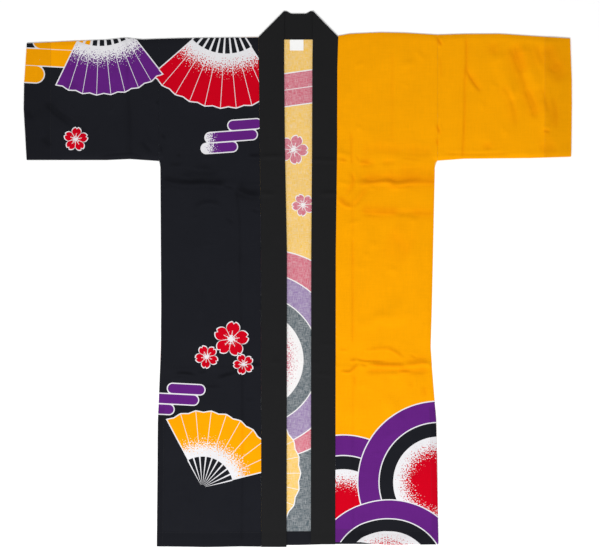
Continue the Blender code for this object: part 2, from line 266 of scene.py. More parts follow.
frontCreases = table(
    "kind halfWidth height route",
    # across the wearer's left front, where the coat was folded for packing
    ("ridge", 0.013, 0.0021, ((0.132, 0.208), (0.157, 0.217), (0.182, 0.220), (0.206, 0.219),
                            (0.222, 0.212))),
    ("ridge", 0.013, 0.0023, ((0.200, 0.209), (0.222, 0.209), (0.237, 0.215), (0.255, 0.219),
                            (0.277, 0.218), (0.318, 0.218))),
    ("roll", 0.020, -0.0012, ((0.222, 0.244), (0.262, 0.240), (0.314, 0.246))),
    ("roll", 0.010, -0.0012, ((0.138, 0.262), (0.158, 0.260), (0.178, 0.262))),
    ("roll", 0.009, -0.0010, ((0.186, 0.262), (0.224, 0.266))),
    ("fold", 0.004, 0.0016, ((0.204, 0.205), (0.235, 0.208), (0.262, 0.211))),
    ("roll", 0.018, -0.0012, ((0.140, 0.292), (0.200, 0.296), (0.252, 0.288), (0.307, 0.292))),
    ("roll", 0.014, -0.0018, ((0.146, 0.222), (0.206, 0.226), (0.252, 0.222), (0.316, 0.219))),
    ("roll", 0.012, -0.0016, ((0.140, 0.152), (0.196, 0.148), (0.250, 0.150), (0.312, 0.146))),
    ("roll", 0.022, 0.0012, ((0.214, 0.120), (0.262, 0.068), (0.266, -0.010), (0.232, -0.066),
                             (0.172, -0.096), (0.124, -0.104))),
    ("roll", 0.012, -0.0018, ((0.150, -0.206), (0.214, -0.202), (0.262, -0.208), (0.300, -0.202))),
    ("roll", 0.022, 0.0014, ((0.196, -0.262), (0.222, -0.300), (0.226, -0.360))),
    ("fold", 0.004, 0.0008, ((0.231, 0.273), (0.280, 0.269))),
    ("ridge", 0.006, 0.0015, ((0.095, 0.266), (0.110, 0.265))),
    ("ridge", 0.007, 0.0020, ((0.136, 0.261), (0.149, 0.262), (0.166, 0.260))),
    ("fold", 0.005, 0.0016, ((0.121, 0.336), (0.121, 0.291), (0.122, 0.253))),
    ("fold", 0.004, 0.0012, ((0.133, 0.278), (0.138, 0.266))),
    ("lap", 0.007, 0.0016, ((0.120, 0.244), (0.129, 0.222), (0.121, 0.205), (0.108, 0.186))),
    ("lap", 0.008, 0.0016, ((0.158, 0.206), (0.146, 0.188), (0.134, 0.172), (0.122, 0.160))),
    ("ridge", 0.009, 0.0020, ((0.090, 0.188), (0.100, 0.169), (0.114, 0.162), (0.130, 0.164))),
    ("ridge", 0.011, 0.0018, ((0.137, 0.152), (0.156, 0.152), (0.188, 0.149), (0.231, 0.148))),
    ("ridge", 0.010, 0.0010, ((0.255, 0.148), (0.283, 0.146), (0.312, 0.146))),
    ("fold", 0.004, 0.0008, ((0.210, 0.250), (0.212, 0.235))),
    ("roll", 0.040, -0.0013, ((0.196, 0.098), (0.224, 0.084), (0.262, 0.062))),
    ("roll", 0.020, 0.0012, ((0.170, -0.080), (0.220, -0.096), (0.262, -0.070))),
    # lower down, the second packing fold
    ("fold", 0.004, 0.0018, ((0.126, -0.174), (0.140, -0.181), (0.157, -0.184), (0.202, -0.184))),
    ("ridge", 0.006, 0.0014, ((0.152, -0.163), (0.182, -0.158), (0.204, -0.158), (0.218, -0.164),
                            (0.230, -0.174), (0.238, -0.184))),
    ("fold", 0.004, 0.0014, ((0.124, -0.178), (0.142, -0.184), (0.166, -0.184))),
    ("ridge", 0.008, 0.0021, ((0.157, -0.193), (0.195, -0.196), (0.230, -0.197), (0.246, -0.198))),
    ("ridge", 0.011, 0.0022, ((0.240, -0.196), (0.262, -0.192), (0.273, -0.189), (0.300, -0.188))),
    ("ridge", 0.005, 0.0016, ((0.117, -0.186), (0.132, -0.184))),
    ("fold", 0.005, 0.0016, ((0.140, -0.187), (0.157, -0.198))),
    ("ridge", 0.006, 0.0020, ((0.092, -0.207), (0.112, -0.212), (0.124, -0.207), (0.137, -0.190))),
    ("ridge", 0.007, 0.0016, ((0.225, -0.210), (0.257, -0.210))),
    ("fold", 0.005, 0.0014, ((0.128, -0.212), (0.129, -0.244))),
    ("lap", 0.007, 0.0014, ((0.287, -0.238), (0.289, -0.268))),
    ("lap", 0.007, 0.0012, ((0.257, -0.226), (0.257, -0.250))),
    ("ridge", 0.005, 0.0010, ((0.092, -0.162), (0.114, -0.162))),
    ("lap", 0.006, 0.0012, ((0.255, -0.168), (0.267, -0.178))),
    # across the wearer's right front
    ("ridge", 0.011, 0.0024, ((-0.308, 0.226), (-0.290, 0.221), (-0.272, 0.216), (-0.237, 0.214),
                            (-0.217, 0.216), (-0.192, 0.215), (-0.160, 0.209))),
    ("roll", 0.016, -0.0018, ((-0.311, 0.229), (-0.270, 0.216), (-0.232, 0.222), (-0.176, 0.214))),
    ("roll", 0.016, -0.0022, ((-0.142, 0.204), (-0.118, 0.193), (-0.080, 0.191))),
    ("roll", 0.012, -0.0010, ((-0.262, 0.246), (-0.210, 0.240), (-0.168, 0.246))),
    ("fold", 0.006, 0.0018, ((-0.169, 0.210), (-0.142, 0.206))),
    ("ridge", 0.012, 0.0028, ((-0.142, 0.206), (-0.129, 0.200), (-0.114, 0.192), (-0.101, 0.189),
                            (-0.080, 0.190))),
    ("fold", 0.004, 0.0014, ((-0.307, 0.206), (-0.295, 0.206))),
    ("ridge", 0.007, 0.0024, ((-0.114, 0.276), (-0.101, 0.275), (-0.081, 0.276))),
    ("lap", 0.006, 0.0012, ((-0.162, 0.141), (-0.142, 0.124))),
    ("ridge", 0.008, 0.0014, ((-0.234, 0.153), (-0.217, 0.171), (-0.187, 0.171), (-0.172, 0.161))),
    ("lap", 0.006, 0.0012, ((-0.104, 0.158), (-0.084, 0.151))),
    ("lap", 0.007, 0.0012, ((-0.272, 0.284), (-0.262, 0.278))),
    ("ridge", 0.007, 0.0010, ((-0.292, 0.255), (-0.257, 0.255))),
    ("ridge", 0.007, 0.0010, ((-0.239, 0.250), (-0.187, 0.246))),
    ("ridge", 0.005, 0.0022, ((-0.279, -0.215), (-0.249, -0.213), (-0.229, -0.221))),
    ("ridge", 0.005, 0.0016, ((-0.224, -0.215), (-0.204, -0.209))),
    ("ridge", 0.006, 0.0028, ((-0.183, -0.228), (-0.164, -0.219), (-0.147, -0.215), (-0.129, -0.207),
                            (-0.114, -0.199))),
    ("ridge", 0.007, 0.0020, ((-0.114, -0.199), (-0.104, -0.195), (-0.084, -0.196))),
    ("ridge", 0.006, 0.0010, ((-0.219, -0.245), (-0.169, -0.245))),
    ("ridge", 0.006, 0.0010, ((-0.121, -0.275), (-0.094, -0.275))),
    # down each front
    ("fold", 0.006, 0.0015, ((-0.139, 0.208), (-0.134, 0.166), (-0.130, 0.141), (-0.130, 0.030))),
    ("fold", 0.005, 0.0012, ((-0.130, 0.053), (-0.126, -0.150), (-0.124, -0.215))),
    ("fold", 0.006, 0.0015, ((-0.125, -0.200), (-0.124, -0.341), (-0.126, -0.598))),
    ("fold", 0.005, 0.0008, ((0.1235, 0.246), (0.1235, 0.090))),
    ("fold", 0.005, 0.0016, ((0.1235, 0.096), (0.1240, -0.150))),
    ("fold", 0.005, 0.0009, ((0.1242, -0.205), (0.1250, -0.598))),
    ("roll", 0.012, 0.0016, ((-0.218, -0.025), (-0.218, -0.092))),
    ("fold", 0.005, 0.0007, ((0.2125, 0.520), (0.2125, 0.300))),
    ("roll", 0.012, -0.0018, ((0.145, -0.560), (0.148, -0.598))),
    # the wearer's left sleeve: its packing fold, then soft slanting folds
    ("fold", 0.006, 0.0022, ((0.379, 0.549), (0.380, 0.502), (0.380, 0.472), (0.386, 0.458),
                             (0.397, 0.441), (0.414, 0.420))),
    ("fold", 0.005, 0.0020, ((0.378, 0.486), (0.376, 0.440), (0.376, 0.373), (0.371, 0.270))),
    ("roll", 0.018, -0.0026, ((0.482, 0.532), (0.497, 0.500), (0.506, 0.462))),
    ("roll", 0.020, -0.0020, ((0.560, 0.532), (0.572, 0.500), (0.580, 0.462))),
    ("roll", 0.012, -0.0009, ((0.386, 0.470), (0.397, 0.446), (0.418, 0.418))),
    ("roll", 0.013, -0.0016, ((0.512, 0.432), (0.530, 0.396), (0.538, 0.362))),
    ("lap", 0.012, 0.0013, ((0.488, 0.520), (0.497, 0.492), (0.506, 0.460), (0.516, 0.430),
                            (0.529, 0.399), (0.537, 0.358))),
    ("lap", 0.012, 0.0011, ((0.462, 0.440), (0.480, 0.410), (0.491, 0.376), (0.493, 0.340))),
    ("lap", 0.015, 0.0014, ((0.536, 0.534), (0.545, 0.508), (0.558, 0.478))),
    ("lap", 0.010, 0.0012, ((0.552, 0.436), (0.561, 0.396), (0.563, 0.372))),
    ("lap", 0.013, 0.0013, ((0.577, 0.415), (0.585, 0.366), (0.581, 0.335))),
    ("lap", 0.007, 0.0016, ((0.551, 0.336), (0.571, 0.333))),
    ("roll", 0.022, -0.0018, ((0.544, 0.287), (0.583, 0.309))),
    ("lap", 0.006, 0.0010, ((0.329, 0.283), (0.442, 0.281), (0.480, 0.286))),
    ("roll", 0.014, -0.0014, ((0.425, 0.311), (0.429, 0.289))),
    ("roll", 0.016, -0.0012, ((0.442, 0.537), (0.442, 0.502))),
    ("roll", 0.030, 0.0024, ((0.450, 0.512), (0.472, 0.454), (0.492, 0.404))),
    ("roll", 0.022, 0.0024, ((0.501, 0.528), (0.524, 0.472), (0.542, 0.422))),
    ("roll", 0.016, 0.0018, ((0.549, 0.408), (0.560, 0.363), (0.558, 0.325))),
    ("roll", 0.026, -0.0018, ((0.574, 0.490), (0.603, 0.445))),
    # the wearer's right sleeve
    ("lap", 0.008, 0.0015, ((-0.382, 0.500), (-0.383, 0.457), (-0.376, 0.357), (-0.376, 0.276))),
    ("lap", 0.008, 0.0028, ((-0.385, 0.544), (-0.380, 0.523), (-0.375, 0.505))),
    ("roll", 0.013, -0.0026, ((-0.567, 0.405), (-0.547, 0.380), (-0.525, 0.364), (-0.473, 0.328))),
    ("roll", 0.010, -0.0018, ((-0.612, 0.383), (-0.593, 0.360))),
    ("roll", 0.012, -0.0018, ((-0.576, 0.325), (-0.554, 0.299))),
    ("lap", 0.010, 0.0016, ((-0.354, 0.315), (-0.325, 0.283))),
    ("lap", 0.006, 0.0009, ((-0.451, 0.277), (-0.406, 0.283), (-0.373, 0.285), (-0.341, 0.273))),
    ("roll", 0.014, -0.0014, ((-0.527, 0.449), (-0.491, 0.435))),
    # short puckers along the armholes
    ("lap", 0.005, 0.0026, ((0.314, 0.547), (0.326, 0.524))),
    ("fold", 0.004, 0.0014, ((0.321, 0.502), (0.323, 0.450))),
    ("lap", 0.004, 0.0024, ((0.314, 0.350), (0.322, 0.325))),
    ("lap", 0.004, 0.0018, ((0.314, 0.318), (0.316, 0.299))),
    ("lap", 0.005, 0.0022, ((-0.306, 0.328), (-0.296, 0.315))),
    ("lap", 0.004, 0.0020, ((-0.307, 0.302), (-0.306, 0.283))),
    ("lap", 0.004, 0.0016, ((-0.318, 0.490), (-0.321, 0.481))),
    ("lap", 0.004, 0.0016, ((-0.318, 0.402), (-0.311, 0.393))),
)
collarCreases = table(
    "kind halfWidth height route",
    ("ridge", 0.007, 0.0024, ((-0.090, 0.275), (-0.024, 0.275))),
    ("ridge", 0.009, 0.0026, ((-0.090, 0.191), (-0.049, 0.190))),
    ("ridge", 0.004, 0.0010, ((-0.085, 0.150), (-0.067, 0.150))),
    ("ridge", 0.007, 0.0014, ((-0.063, -0.189), (-0.038, -0.189))),
    ("ridge", 0.007, 0.0024, ((0.028, 0.269), (0.055, 0.267), (0.092, 0.265))),
    ("ridge", 0.009, 0.0026, ((0.046, 0.191), (0.092, 0.192))),
    ("fold", 0.004, 0.0012, ((0.034, 0.161), (0.086, 0.161))),
    ("ridge", 0.007, 0.0012, ((0.048, -0.147), (0.086, -0.149))),
    ("ridge", 0.007, 0.0012, ((0.032, -0.189), (0.050, -0.192))),
    ("ridge", 0.007, 0.0014, ((0.034, -0.214), (0.084, -0.217))),
)

# The back's own creases, seen in the open front and from below
backCreases = table(
    "kind halfWidth height route",
    ("roll", 0.010, 0.0008, ((-0.300, 0.216), (-0.120, 0.212), (0.060, 0.214), (0.300, 0.220))),
    ("roll", 0.010, 0.0008, ((-0.300, -0.205), (-0.060, -0.200), (0.140, -0.198), (0.300, -0.194))),
    ("fold", 0.008, 0.0007, ((-0.120, 0.500), (-0.124, -0.100), (-0.122, -0.590))),
    ("fold", 0.008, 0.0007, ((0.118, 0.500), (0.121, -0.120), (0.120, -0.590))),
    ("roll", 0.012, 0.0008, ((-0.028, 0.180), (0.006, 0.172), (0.034, 0.188))),
    ("roll", 0.010, 0.0007, ((-0.026, -0.030), (0.010, -0.044), (0.032, -0.040))),
    ("roll", 0.012, 0.0007, ((0.020, 0.360), (0.004, 0.330), (-0.024, 0.322))),
    ("fold", 0.008, 0.0007, ((-0.375, 0.535), (-0.378, 0.275))),
    ("fold", 0.008, 0.0007, ((0.380, 0.540), (0.377, 0.275))),
)

strays = table(
    "seed count left right bottom top slant",
    (3, 26, 0.095, 0.300, -0.560, 0.520, 0),
    (5, 26, -0.300, -0.095, -0.560, 0.520, 0),
    (7, 7, 0.400, 0.600, 0.300, 0.520, 115),
    (9, 9, -0.600, -0.400, 0.300, 0.520, 60),
)


straySizes = {
    "turn": 22,  # how far they turn from the slant, both in degrees
    "reach": (0.008, 0.024),
    "bend": (-0.004, 0.004),
    "halfWidth": (0.006, 0.014),
    "height": (0.0005, 0.0013),
    "kinds": ("ridge", "roll", "roll"),
}


def strayCreases(row):
    # short faint creases here and there
    chance = random.Random(row.seed)
    found = []
    for _ in range(row.count):
        x, y = chance.uniform(row.left, row.right), chance.uniform(row.bottom, row.top)
        turn = math.radians(row.slant + chance.gauss(0, straySizes["turn"]))
        reach, bend = chance.uniform(*straySizes["reach"]), chance.uniform(*straySizes["bend"])
        along = (reach * math.cos(turn), reach * math.sin(turn))
        aside = (-bend * math.sin(turn), bend * math.cos(turn))
        route = ((x - along[0], y - along[1]), (x + aside[0], y + aside[1]),
                 (x + along[0], y + along[1]))
        kind = chance.choice(straySizes["kinds"])
        halfWidth = chance.uniform(*straySizes["halfWidth"])
        found.append((kind, halfWidth, chance.uniform(*straySizes["height"]), route))
    return found


allCreases = list(frontCreases)
for row in strays:
    allCreases += table("kind halfWidth height route", *strayCreases(row))

# the forms of the creases, in half widths and in shares of their heights
creaseForms = {
    "swellReach": 2.8,  # the cloth beside a fold or a lap swells up to there
    "foldSwell": 0.5,
    "lapSwell": 0.6,
    "grooveRise": (0.8, 2.2),  # a fold's groove comes up gently on one side and steeply on the other
    "grooveEase": 1.5,
    "gentleFoot": 1.15,
    "gentleWidth": 1.3,
    "gentlePeak": 1.06,
    "steepWidth": 0.8,
}
# how the height of a crease, and then the painted shade in it, come and go along its route
creaseRun = {
    "reach": creaseForms["swellReach"],  # half widths to each side
    "uneven": 0.45,
    "unevenSize": 0.045,
    "seedStep": 3.7,
    "seedStart": 0.0,
    "fade": 0.022,
    "fadeShare": 0.45,  # of its length, where it's short
    "atEnds": 0.12,
}
shadeRun = {
    "reach": 3.2,
    "uneven": 0.6,
    "unevenSize": 0.030,
    "seedStep": 2.9,
    "seedStart": 0.5,
    "fade": 0.020,
    "fadeShare": 0.4,
    "atEnds": 0.1,
}
# where the dark flank of each kind's painted shade lies, in half widths from its route, and how dark
# that painted shade is
creaseFlank = {"ridge": 0.5, "lap": -0.5, "fold": 0.0, "roll": 0.0}
paintedShadeDepth = {"ridge": 0.70, "lap": 0.60, "fold": 0.35, "roll": 0.60}
flankShades = ((0.75, 0.8), (0.25, 1.6))  # shares of that dark, and how many half widths each spreads
# painted shade down the middle of the pressed creases, and how high a crease must be for its painted
# shade to be darkest
paintedShadeLines = {
    "share": 0.35,  # a thin dark line runs down the middle of a pressed crease
    "width": 0.0020,
    "fullHeight": 0.0030,  # creases this high are darkest
}

drape = {
    "air": 0.0007,  # how far the upper layer floats above the lower one
    "ease": 0.011,  # it rises to that height over this distance from a seam or a fold
    "creases": 1.15,  # how strongly the creases stand out
    "creaseEase": 0.007,
    "swell": 0.0018,
    "swellUp": 0.4,  # it swells more than it sinks
    "swellSize": 0.090,
    "ripple": 0.00045,
    "rippleSize": 0.030,
    "pucker": 0.00050,
    "puckerSize": 0.011,
    "puckerReach": 0.010,
    "puckerDraw": 0.6,  # they are drawn out across the seams
    "seamDip": 0.00060,
    "seamDipReach": 0.0035,
    "allowance": 0.00035,  # the seam allowances lie under the cloth beside each seam
    "allowanceWidth": 0.012,
    "allowanceEdge": 0.002,
    "allowanceEase": 0.006,
    "edgeRoll": 0.0035,  # beside the side and underarm seams it comes down to the lower layer
    "hemLift": 0.0008,  # the turned-in hems lift it
    "hemEase": 0.012,
    "cuffReach": 0.050,  # towards the open cuff the layers settle together
    "cuffSettle": 0.6,
    "lowest": -0.0003,
    "highest": 0.0095,
}
noiseSeeds = {"swell": 1.5, "ripple": 9.5, "pucker": 4.5, "band": 7.1, "label": 2.2}
bodyReach = 0.35  # past the body's sides, and short of the cuffs
aboveUnderarm = 0.27  # the sides' own table holds the armholes from there up
belowUnderarm = 0.03  # and the side seams from that far under the underarm down


def rounded(route):
    # the route with its corners cut off twice
    for _ in range(2):
        cutRoute = [route[0]]
        for (startX, startY), (endX, endY) in zip(route, route[1:]):
            for share in (0.25, 0.75):
                cutRoute.append((startX + (endX - startX) * share, startY + (endY - startY) * share))
        route = cutRoute + [route[-1]]
    return route


def distanceTo(x, y, route):
    # how far each point is from the route, below zero on its right, how far along the route it
    # lies from the nearer end, and how long the route is
    nearest = np.full(np.shape(x), np.inf)
    side, along = np.ones(np.shape(x)), np.zeros(np.shape(x))
    length = 0.0
    for (startX, startY), (endX, endY) in zip(route, route[1:]):
        alongX, alongY = endX - startX, endY - startY
        reach = math.hypot(alongX, alongY)
        share = np.clip(((x - startX) * alongX + (y - startY) * alongY) / reach ** 2, 0, 1)
        asideX, asideY = x - startX - share * alongX, y - startY - share * alongY
        distance = np.hypot(asideX, asideY)
        closer = distance < nearest
        side = np.where(closer, np.where(alongX * asideY - alongY * asideX < 0, -1, 1), side)
        along = np.where(closer, length + share * reach, along)
        nearest = np.minimum(nearest, distance)
        length += reach
    return nearest * side, np.minimum(along, length - along), length


def creaseShape(kind, distance):
    # height of a crease at a distance given in its half widths
    reach = np.abs(distance)
    far = creaseForms["swellReach"]
    if kind == "roll":
        return (1 + np.cos(np.pi * np.clip(reach, 0, 1))) / 2
    if kind == "fold":
        groove = np.exp(-np.where(distance > 0, *creaseForms["grooveRise"]) * reach)
        groove *= smooth((far - reach) / creaseForms["grooveEase"])
        return creaseForms["foldSwell"] * smooth(1 - reach / far) - groove
    gentle = smooth((creaseForms["gentleFoot"] - distance) / creaseForms["gentleWidth"])
    steep = smooth(1 + distance / creaseForms["steepWidth"])
    slope = np.where(distance > 0, gentle * creaseForms["gentlePeak"], steep)
    if kind == "ridge":
        return slope
    return creaseForms["lapSwell"] / 2 * (1 + np.cos(np.pi * np.clip(reach / far, 0, 1))) - slope


def alongCreases(x, y, rows, run):
    # each crease with the points near it, how far they are from its route, and how much it is
    # there: unevenly along the route, and less towards the ends
    for index, crease in enumerate(rows):
        route = rounded(crease.route)
        routeX, routeY = zip(*route)
        reach = run["reach"] * crease.halfWidth
        near = (x > min(routeX) - reach) & (x < max(routeX) + reach)
        near &= (y > min(routeY) - reach) & (y < max(routeY) + reach)
        distance, fromEnd, length = distanceTo(x[near], y[near], route)
        seed = index * run["seedStep"] + run["seedStart"]
        uneven = 1 + run["uneven"] * wander(x[near], y[near], run["unevenSize"], seed)
        fade = smooth(fromEnd / min(run["fade"], run["fadeShare"] * length) + run["atEnds"])
        yield crease, near, distance, uneven * fade


def creaseHeight(x, y, rows):
    total = np.zeros(np.shape(x))
    for crease, near, distance, share in alongCreases(x, y, rows, creaseRun):
        total[near] += crease.height * creaseShape(crease.kind, distance / crease.halfWidth) * share
    return total


def paintedCreaseShade(x, y, rows):
    # painted shade for the cloth's colour: 1 along the sharpest pressed lines, where little light gets
    # in, and less in their soft flanks
    light = np.ones(np.shape(x))
    for crease, near, distance, share in alongCreases(x, y, rows, shadeRun):
        if crease.kind == "roll" and crease.height > 0:
            continue
        flank = distance / crease.halfWidth - creaseFlank[crease.kind]
        depth = sum(part * np.exp(-(flank / spread) ** 2) for part, spread in flankShades)
        depth *= paintedShadeDepth[crease.kind]
        if crease.kind != "roll":
            depth += paintedShadeLines["share"] * np.exp(-(distance / paintedShadeLines["width"]) ** 2)
        strength = min(1, abs(crease.height) / paintedShadeLines["fullHeight"])
        light[near] *= 1 - np.clip(strength * share * depth, 0, 1)
    return 1 - light


def bodySide(x, y):
    left = readAt(sideEdge, "left", y)
    right = readAt(sideEdge, "right", y)
    return np.where(x < 0, -left, right)


def edgeDistance(x, y):
    # how far a point of the upper layer is from the coat's side edge or the sleeve's lower edge
    reach = np.abs(x)
    side = bodySide(x, np.minimum(y, underarmLine - belowUnderarm))
    besideBody = np.where(y < underarmLine, side - reach, np.hypot(side - reach, y - underarmLine))
    return np.maximum(0, np.where(reach > side, y - underarmY(x), besideBody))


def holdDistance(x, y):
    # how far it is from the seam or fold that holds it to the lower layer
    overVent = np.where(np.abs(x) < bodyReach, np.maximum(0, cut["ventTop"] - y), 0)
    return np.maximum(0, np.minimum(shoulderY(x) - y, edgeDistance(x, y) + overVent))


def seamDistance(x, y):
    # how far a point of the upper layer is from the nearest sewn line on it
    armhole = np.abs(np.abs(x) - bodySide(x, np.maximum(y, aboveUnderarm)))
    armhole = np.where(y > underarmLine, armhole, np.hypot(armhole, y - underarmLine))
    left = np.abs(x - readAt(collarEdge, "leftSeam", y))
    right = np.abs(x - readAt(collarEdge, "rightSeam", y))
    return np.minimum(armhole, np.minimum(left, right))


def upperLift(x, y):
    held = smooth(holdDistance(x, y) / drape["ease"])
    swell = drape["swell"] * (drape["swellUp"] + wander(x, y, drape["swellSize"], noiseSeeds["swell"]))
    ripple = drape["ripple"] * wander(x, y, drape["rippleSize"], noiseSeeds["ripple"])
    settle = drape["cuffSettle"] * smooth(1 - (cut["cuffReach"] - np.abs(x)) / drape["cuffReach"])
    height = held * (drape["air"] + swell + ripple) * (1 - settle)
    creases = drape["creases"] * creaseHeight(x, y, allCreases)
    height += creases * smooth(holdDistance(x, y) / drape["creaseEase"]) * (1 - settle / 2)
    seam = seamDistance(x, y)
    pucker = drape["pucker"] * np.exp(-seam / drape["puckerReach"])
    drawn = wander(x * drape["puckerDraw"], y, drape["puckerSize"], noiseSeeds["pucker"])
    height += held * pucker * (1 + drawn)
    allowance = smooth((drape["allowanceWidth"] - seam) / drape["allowanceEdge"])
    height += drape["allowance"] * allowance * smooth(holdDistance(x, y) / drape["allowanceEase"])
    height -= drape["seamDip"] * np.exp(-(seam / drape["seamDipReach"]) ** 2)
    height = np.clip(height, drape["lowest"], drape["highest"])
    height += drape["hemLift"] * smooth(hemDepth(x, y) / drape["hemEase"])
    room = layers["front"] - layers["back"] - layers["cloth"]
    return height - room * smooth(1 - edgeDistance(x, y) / drape["edgeRoll"])


def lowerLift(x, y):
    return np.maximum(0, creaseHeight(x, y, backCreases))


def hemDepth(x, y):
    # signed distance in from the stitched line of the nearest hem: above zero the cloth is double
    footHem = hemLine + cut["hemWidth"] - y
    cuffHem = np.abs(x) - (cut["cuffReach"] - cut["cuffHem"])
    ventHem = np.abs(x) - (bodySide(x, y) - cut["ventHem"])
    ventHem = np.where(np.abs(x) < bodyReach, np.minimum(ventHem, cut["ventTop"] - y), -1)
    return np.maximum(np.maximum(footHem, cuffHem), ventHem)


# Sheets of cloth

sharpAngle = math.radians(50)


def makeSheet(name, x, y, z, u, v, keep, thickness, materials, fields=(), bevel=0.0):
    # x, y, z are grids of the middle of the cloth, with a row of points for each row of the sheet
    height, width = np.shape(x)
    grid = bmesh.new()
    bmesh.ops.create_grid(grid, x_segments=width - 1, y_segments=height - 1, size=0.5)
    bmesh.ops.reverse_faces(grid, faces=grid.faces)
    mesh = bpy.data.meshes.new(name)
    grid.to_mesh(mesh)
    grid.free()
    places = np.zeros(len(mesh.vertices) * 3)
    mesh.vertices.foreach_get("co", places)
    places = places.reshape(-1, 3)
    column = np.rint((places[:, 0] + 0.5) * (width - 1)).astype(int)
    row = np.rint((places[:, 1] + 0.5) * (height - 1)).astype(int)
    points = np.stack([x[row, column], y[row, column], z[row, column]], axis=1)
    mesh.vertices.foreach_set("co", points.ravel())
    corners = np.zeros(len(mesh.loops), int)
    mesh.loops.foreach_get("vertex_index", corners)
    layout = mesh.uv_layers.new(name="layout")
    pattern = np.stack([u[row, column], v[row, column]], axis=1)[corners]
    layout.uv.foreach_set("vector", pattern.astype(np.float32).ravel())
    for label, values in fields:
        field = mesh.attributes.new(label, "FLOAT", "POINT")
        field.data.foreach_set("value", values[row, column].astype(np.float32))
    if keep is not None:
        shape = bmesh.new()
        shape.from_mesh(mesh)
        shape.verts.ensure_lookup_table()
        gone = [f for f in shape.faces
                if not keep[min(row[c.index] for c in f.verts), min(column[c.index] for c in f.verts)]]
        bmesh.ops.delete(shape, geom=gone, context="FACES")
        shape.to_mesh(mesh)
        shape.free()
    sheet = addObject(name, mesh)
    for material in materials:
        mesh.materials.append(material)
    wall = sheet.modifiers.new("cloth", "SOLIDIFY")
    wall.thickness = thickness
    wall.offset = 0.0
    wall.material_offset = len(materials) - 1
    if bevel:
        edge = sheet.modifiers.new("rolled edge", "BEVEL")
        edge.width = bevel
        edge.segments = 3
        edge.limit_method = "ANGLE"
        edge.angle_limit = sharpAngle
    applyModifiers(sheet)
    sheet.data.set_sharp_from_angle(angle=sharpAngle)
    return sheet


bodySizes = {
    "frontStep": 0.0048,
    "frontClose": 0.0024,
    "closeAcross": ((0.140, 0.290), (-0.250, -0.155)),  # stretches of y with sharp creases
    "closeDown": ((0.12, 0.25), (0.94, 1.0)),  # and shares of the way from the collar to the side
    "frontWidth": 0.228,
    "backStep": 0.0140,
    "neckStep": 0.0120,
    "neckWidth": 0.089,
    "turnSteps": 8,
    "hemStep": 0.008,
    "hemTurnSteps": 5,
}


def bodyX(column, y):
    edges = (
        readAt(sideEdge, "left", y),
        readAt(collarEdge, "leftSeam", y) - cut["seamGap"],
        readAt(collarEdge, "rightSeam", y) + cut["seamGap"],
        readAt(sideEdge, "right", y),
    )
    return np.interp(column, (-2, -1, 1, 2), edges)


def neckSag(share):
    ease = cut["neckSagEase"]
    return cut["neckSag"] * smooth(share / ease) * smooth((1 - share) / ease)


def nearEdge(y, edgeY):
    return np.maximum(0.0, 1 - np.abs(y - edgeY) / edgeEase)


def turnAngles(count):
    return math.pi * (np.arange(1, count) / count - 0.5)


def overShoulder(top, angle):
    # y, z and the layout's v of a row that turns from the back to the front under the fold's top
    y, z = top + turnRadius * math.cos(angle), layers["back"] + turnRadius * (1 + math.sin(angle))
    return y, z, shoulderLine - turnRadius * angle


def bodyRows():
    # the sheet's rows from the back's turned-up hem, down to its foot, up the back, over the
    # shoulders, and down the front to its own turned-up hem
    close = [(low, high, bodySizes["frontClose"]) for low, high in bodySizes["closeAcross"]]
    foot = hemLine + layers["cloth"]
    hemYs = steps(hemLine + cut["hemWidth"], foot, bodySizes["hemStep"])
    backYs = steps(foot, shoulderLine, bodySizes["backStep"])
    frontYs = steps(shoulderLine, foot, bodySizes["frontStep"], *close)
    rows = [("backHem", y) for y in hemYs]
    rows += [("backFoot", angle) for angle in turnAngles(bodySizes["hemTurnSteps"])]
    rows += [("back", y) for y in backYs]
    rows += [("turn", angle) for angle in turnAngles(bodySizes["turnSteps"])]
    rows += [("front", y) for y in frontYs]
    rows += [("frontFoot", angle) for angle in turnAngles(bodySizes["hemTurnSteps"])]
    rows += [("frontHem", y) for y in hemYs[::-1]]
    return rows


def bodyColumns():
    close = [(low, high, bodySizes["frontClose"] / bodySizes["frontWidth"])
             for low, high in bodySizes["closeDown"]]
    front = steps(0.0, 1.0, bodySizes["frontStep"] / bodySizes["frontWidth"], *close)
    neck = steps(-1.0, 1.0, 2 * bodySizes["neckStep"] / bodySizes["neckWidth"])
    return np.concatenate([-1 - front[::-1], neck[1:-1], 1 + front])


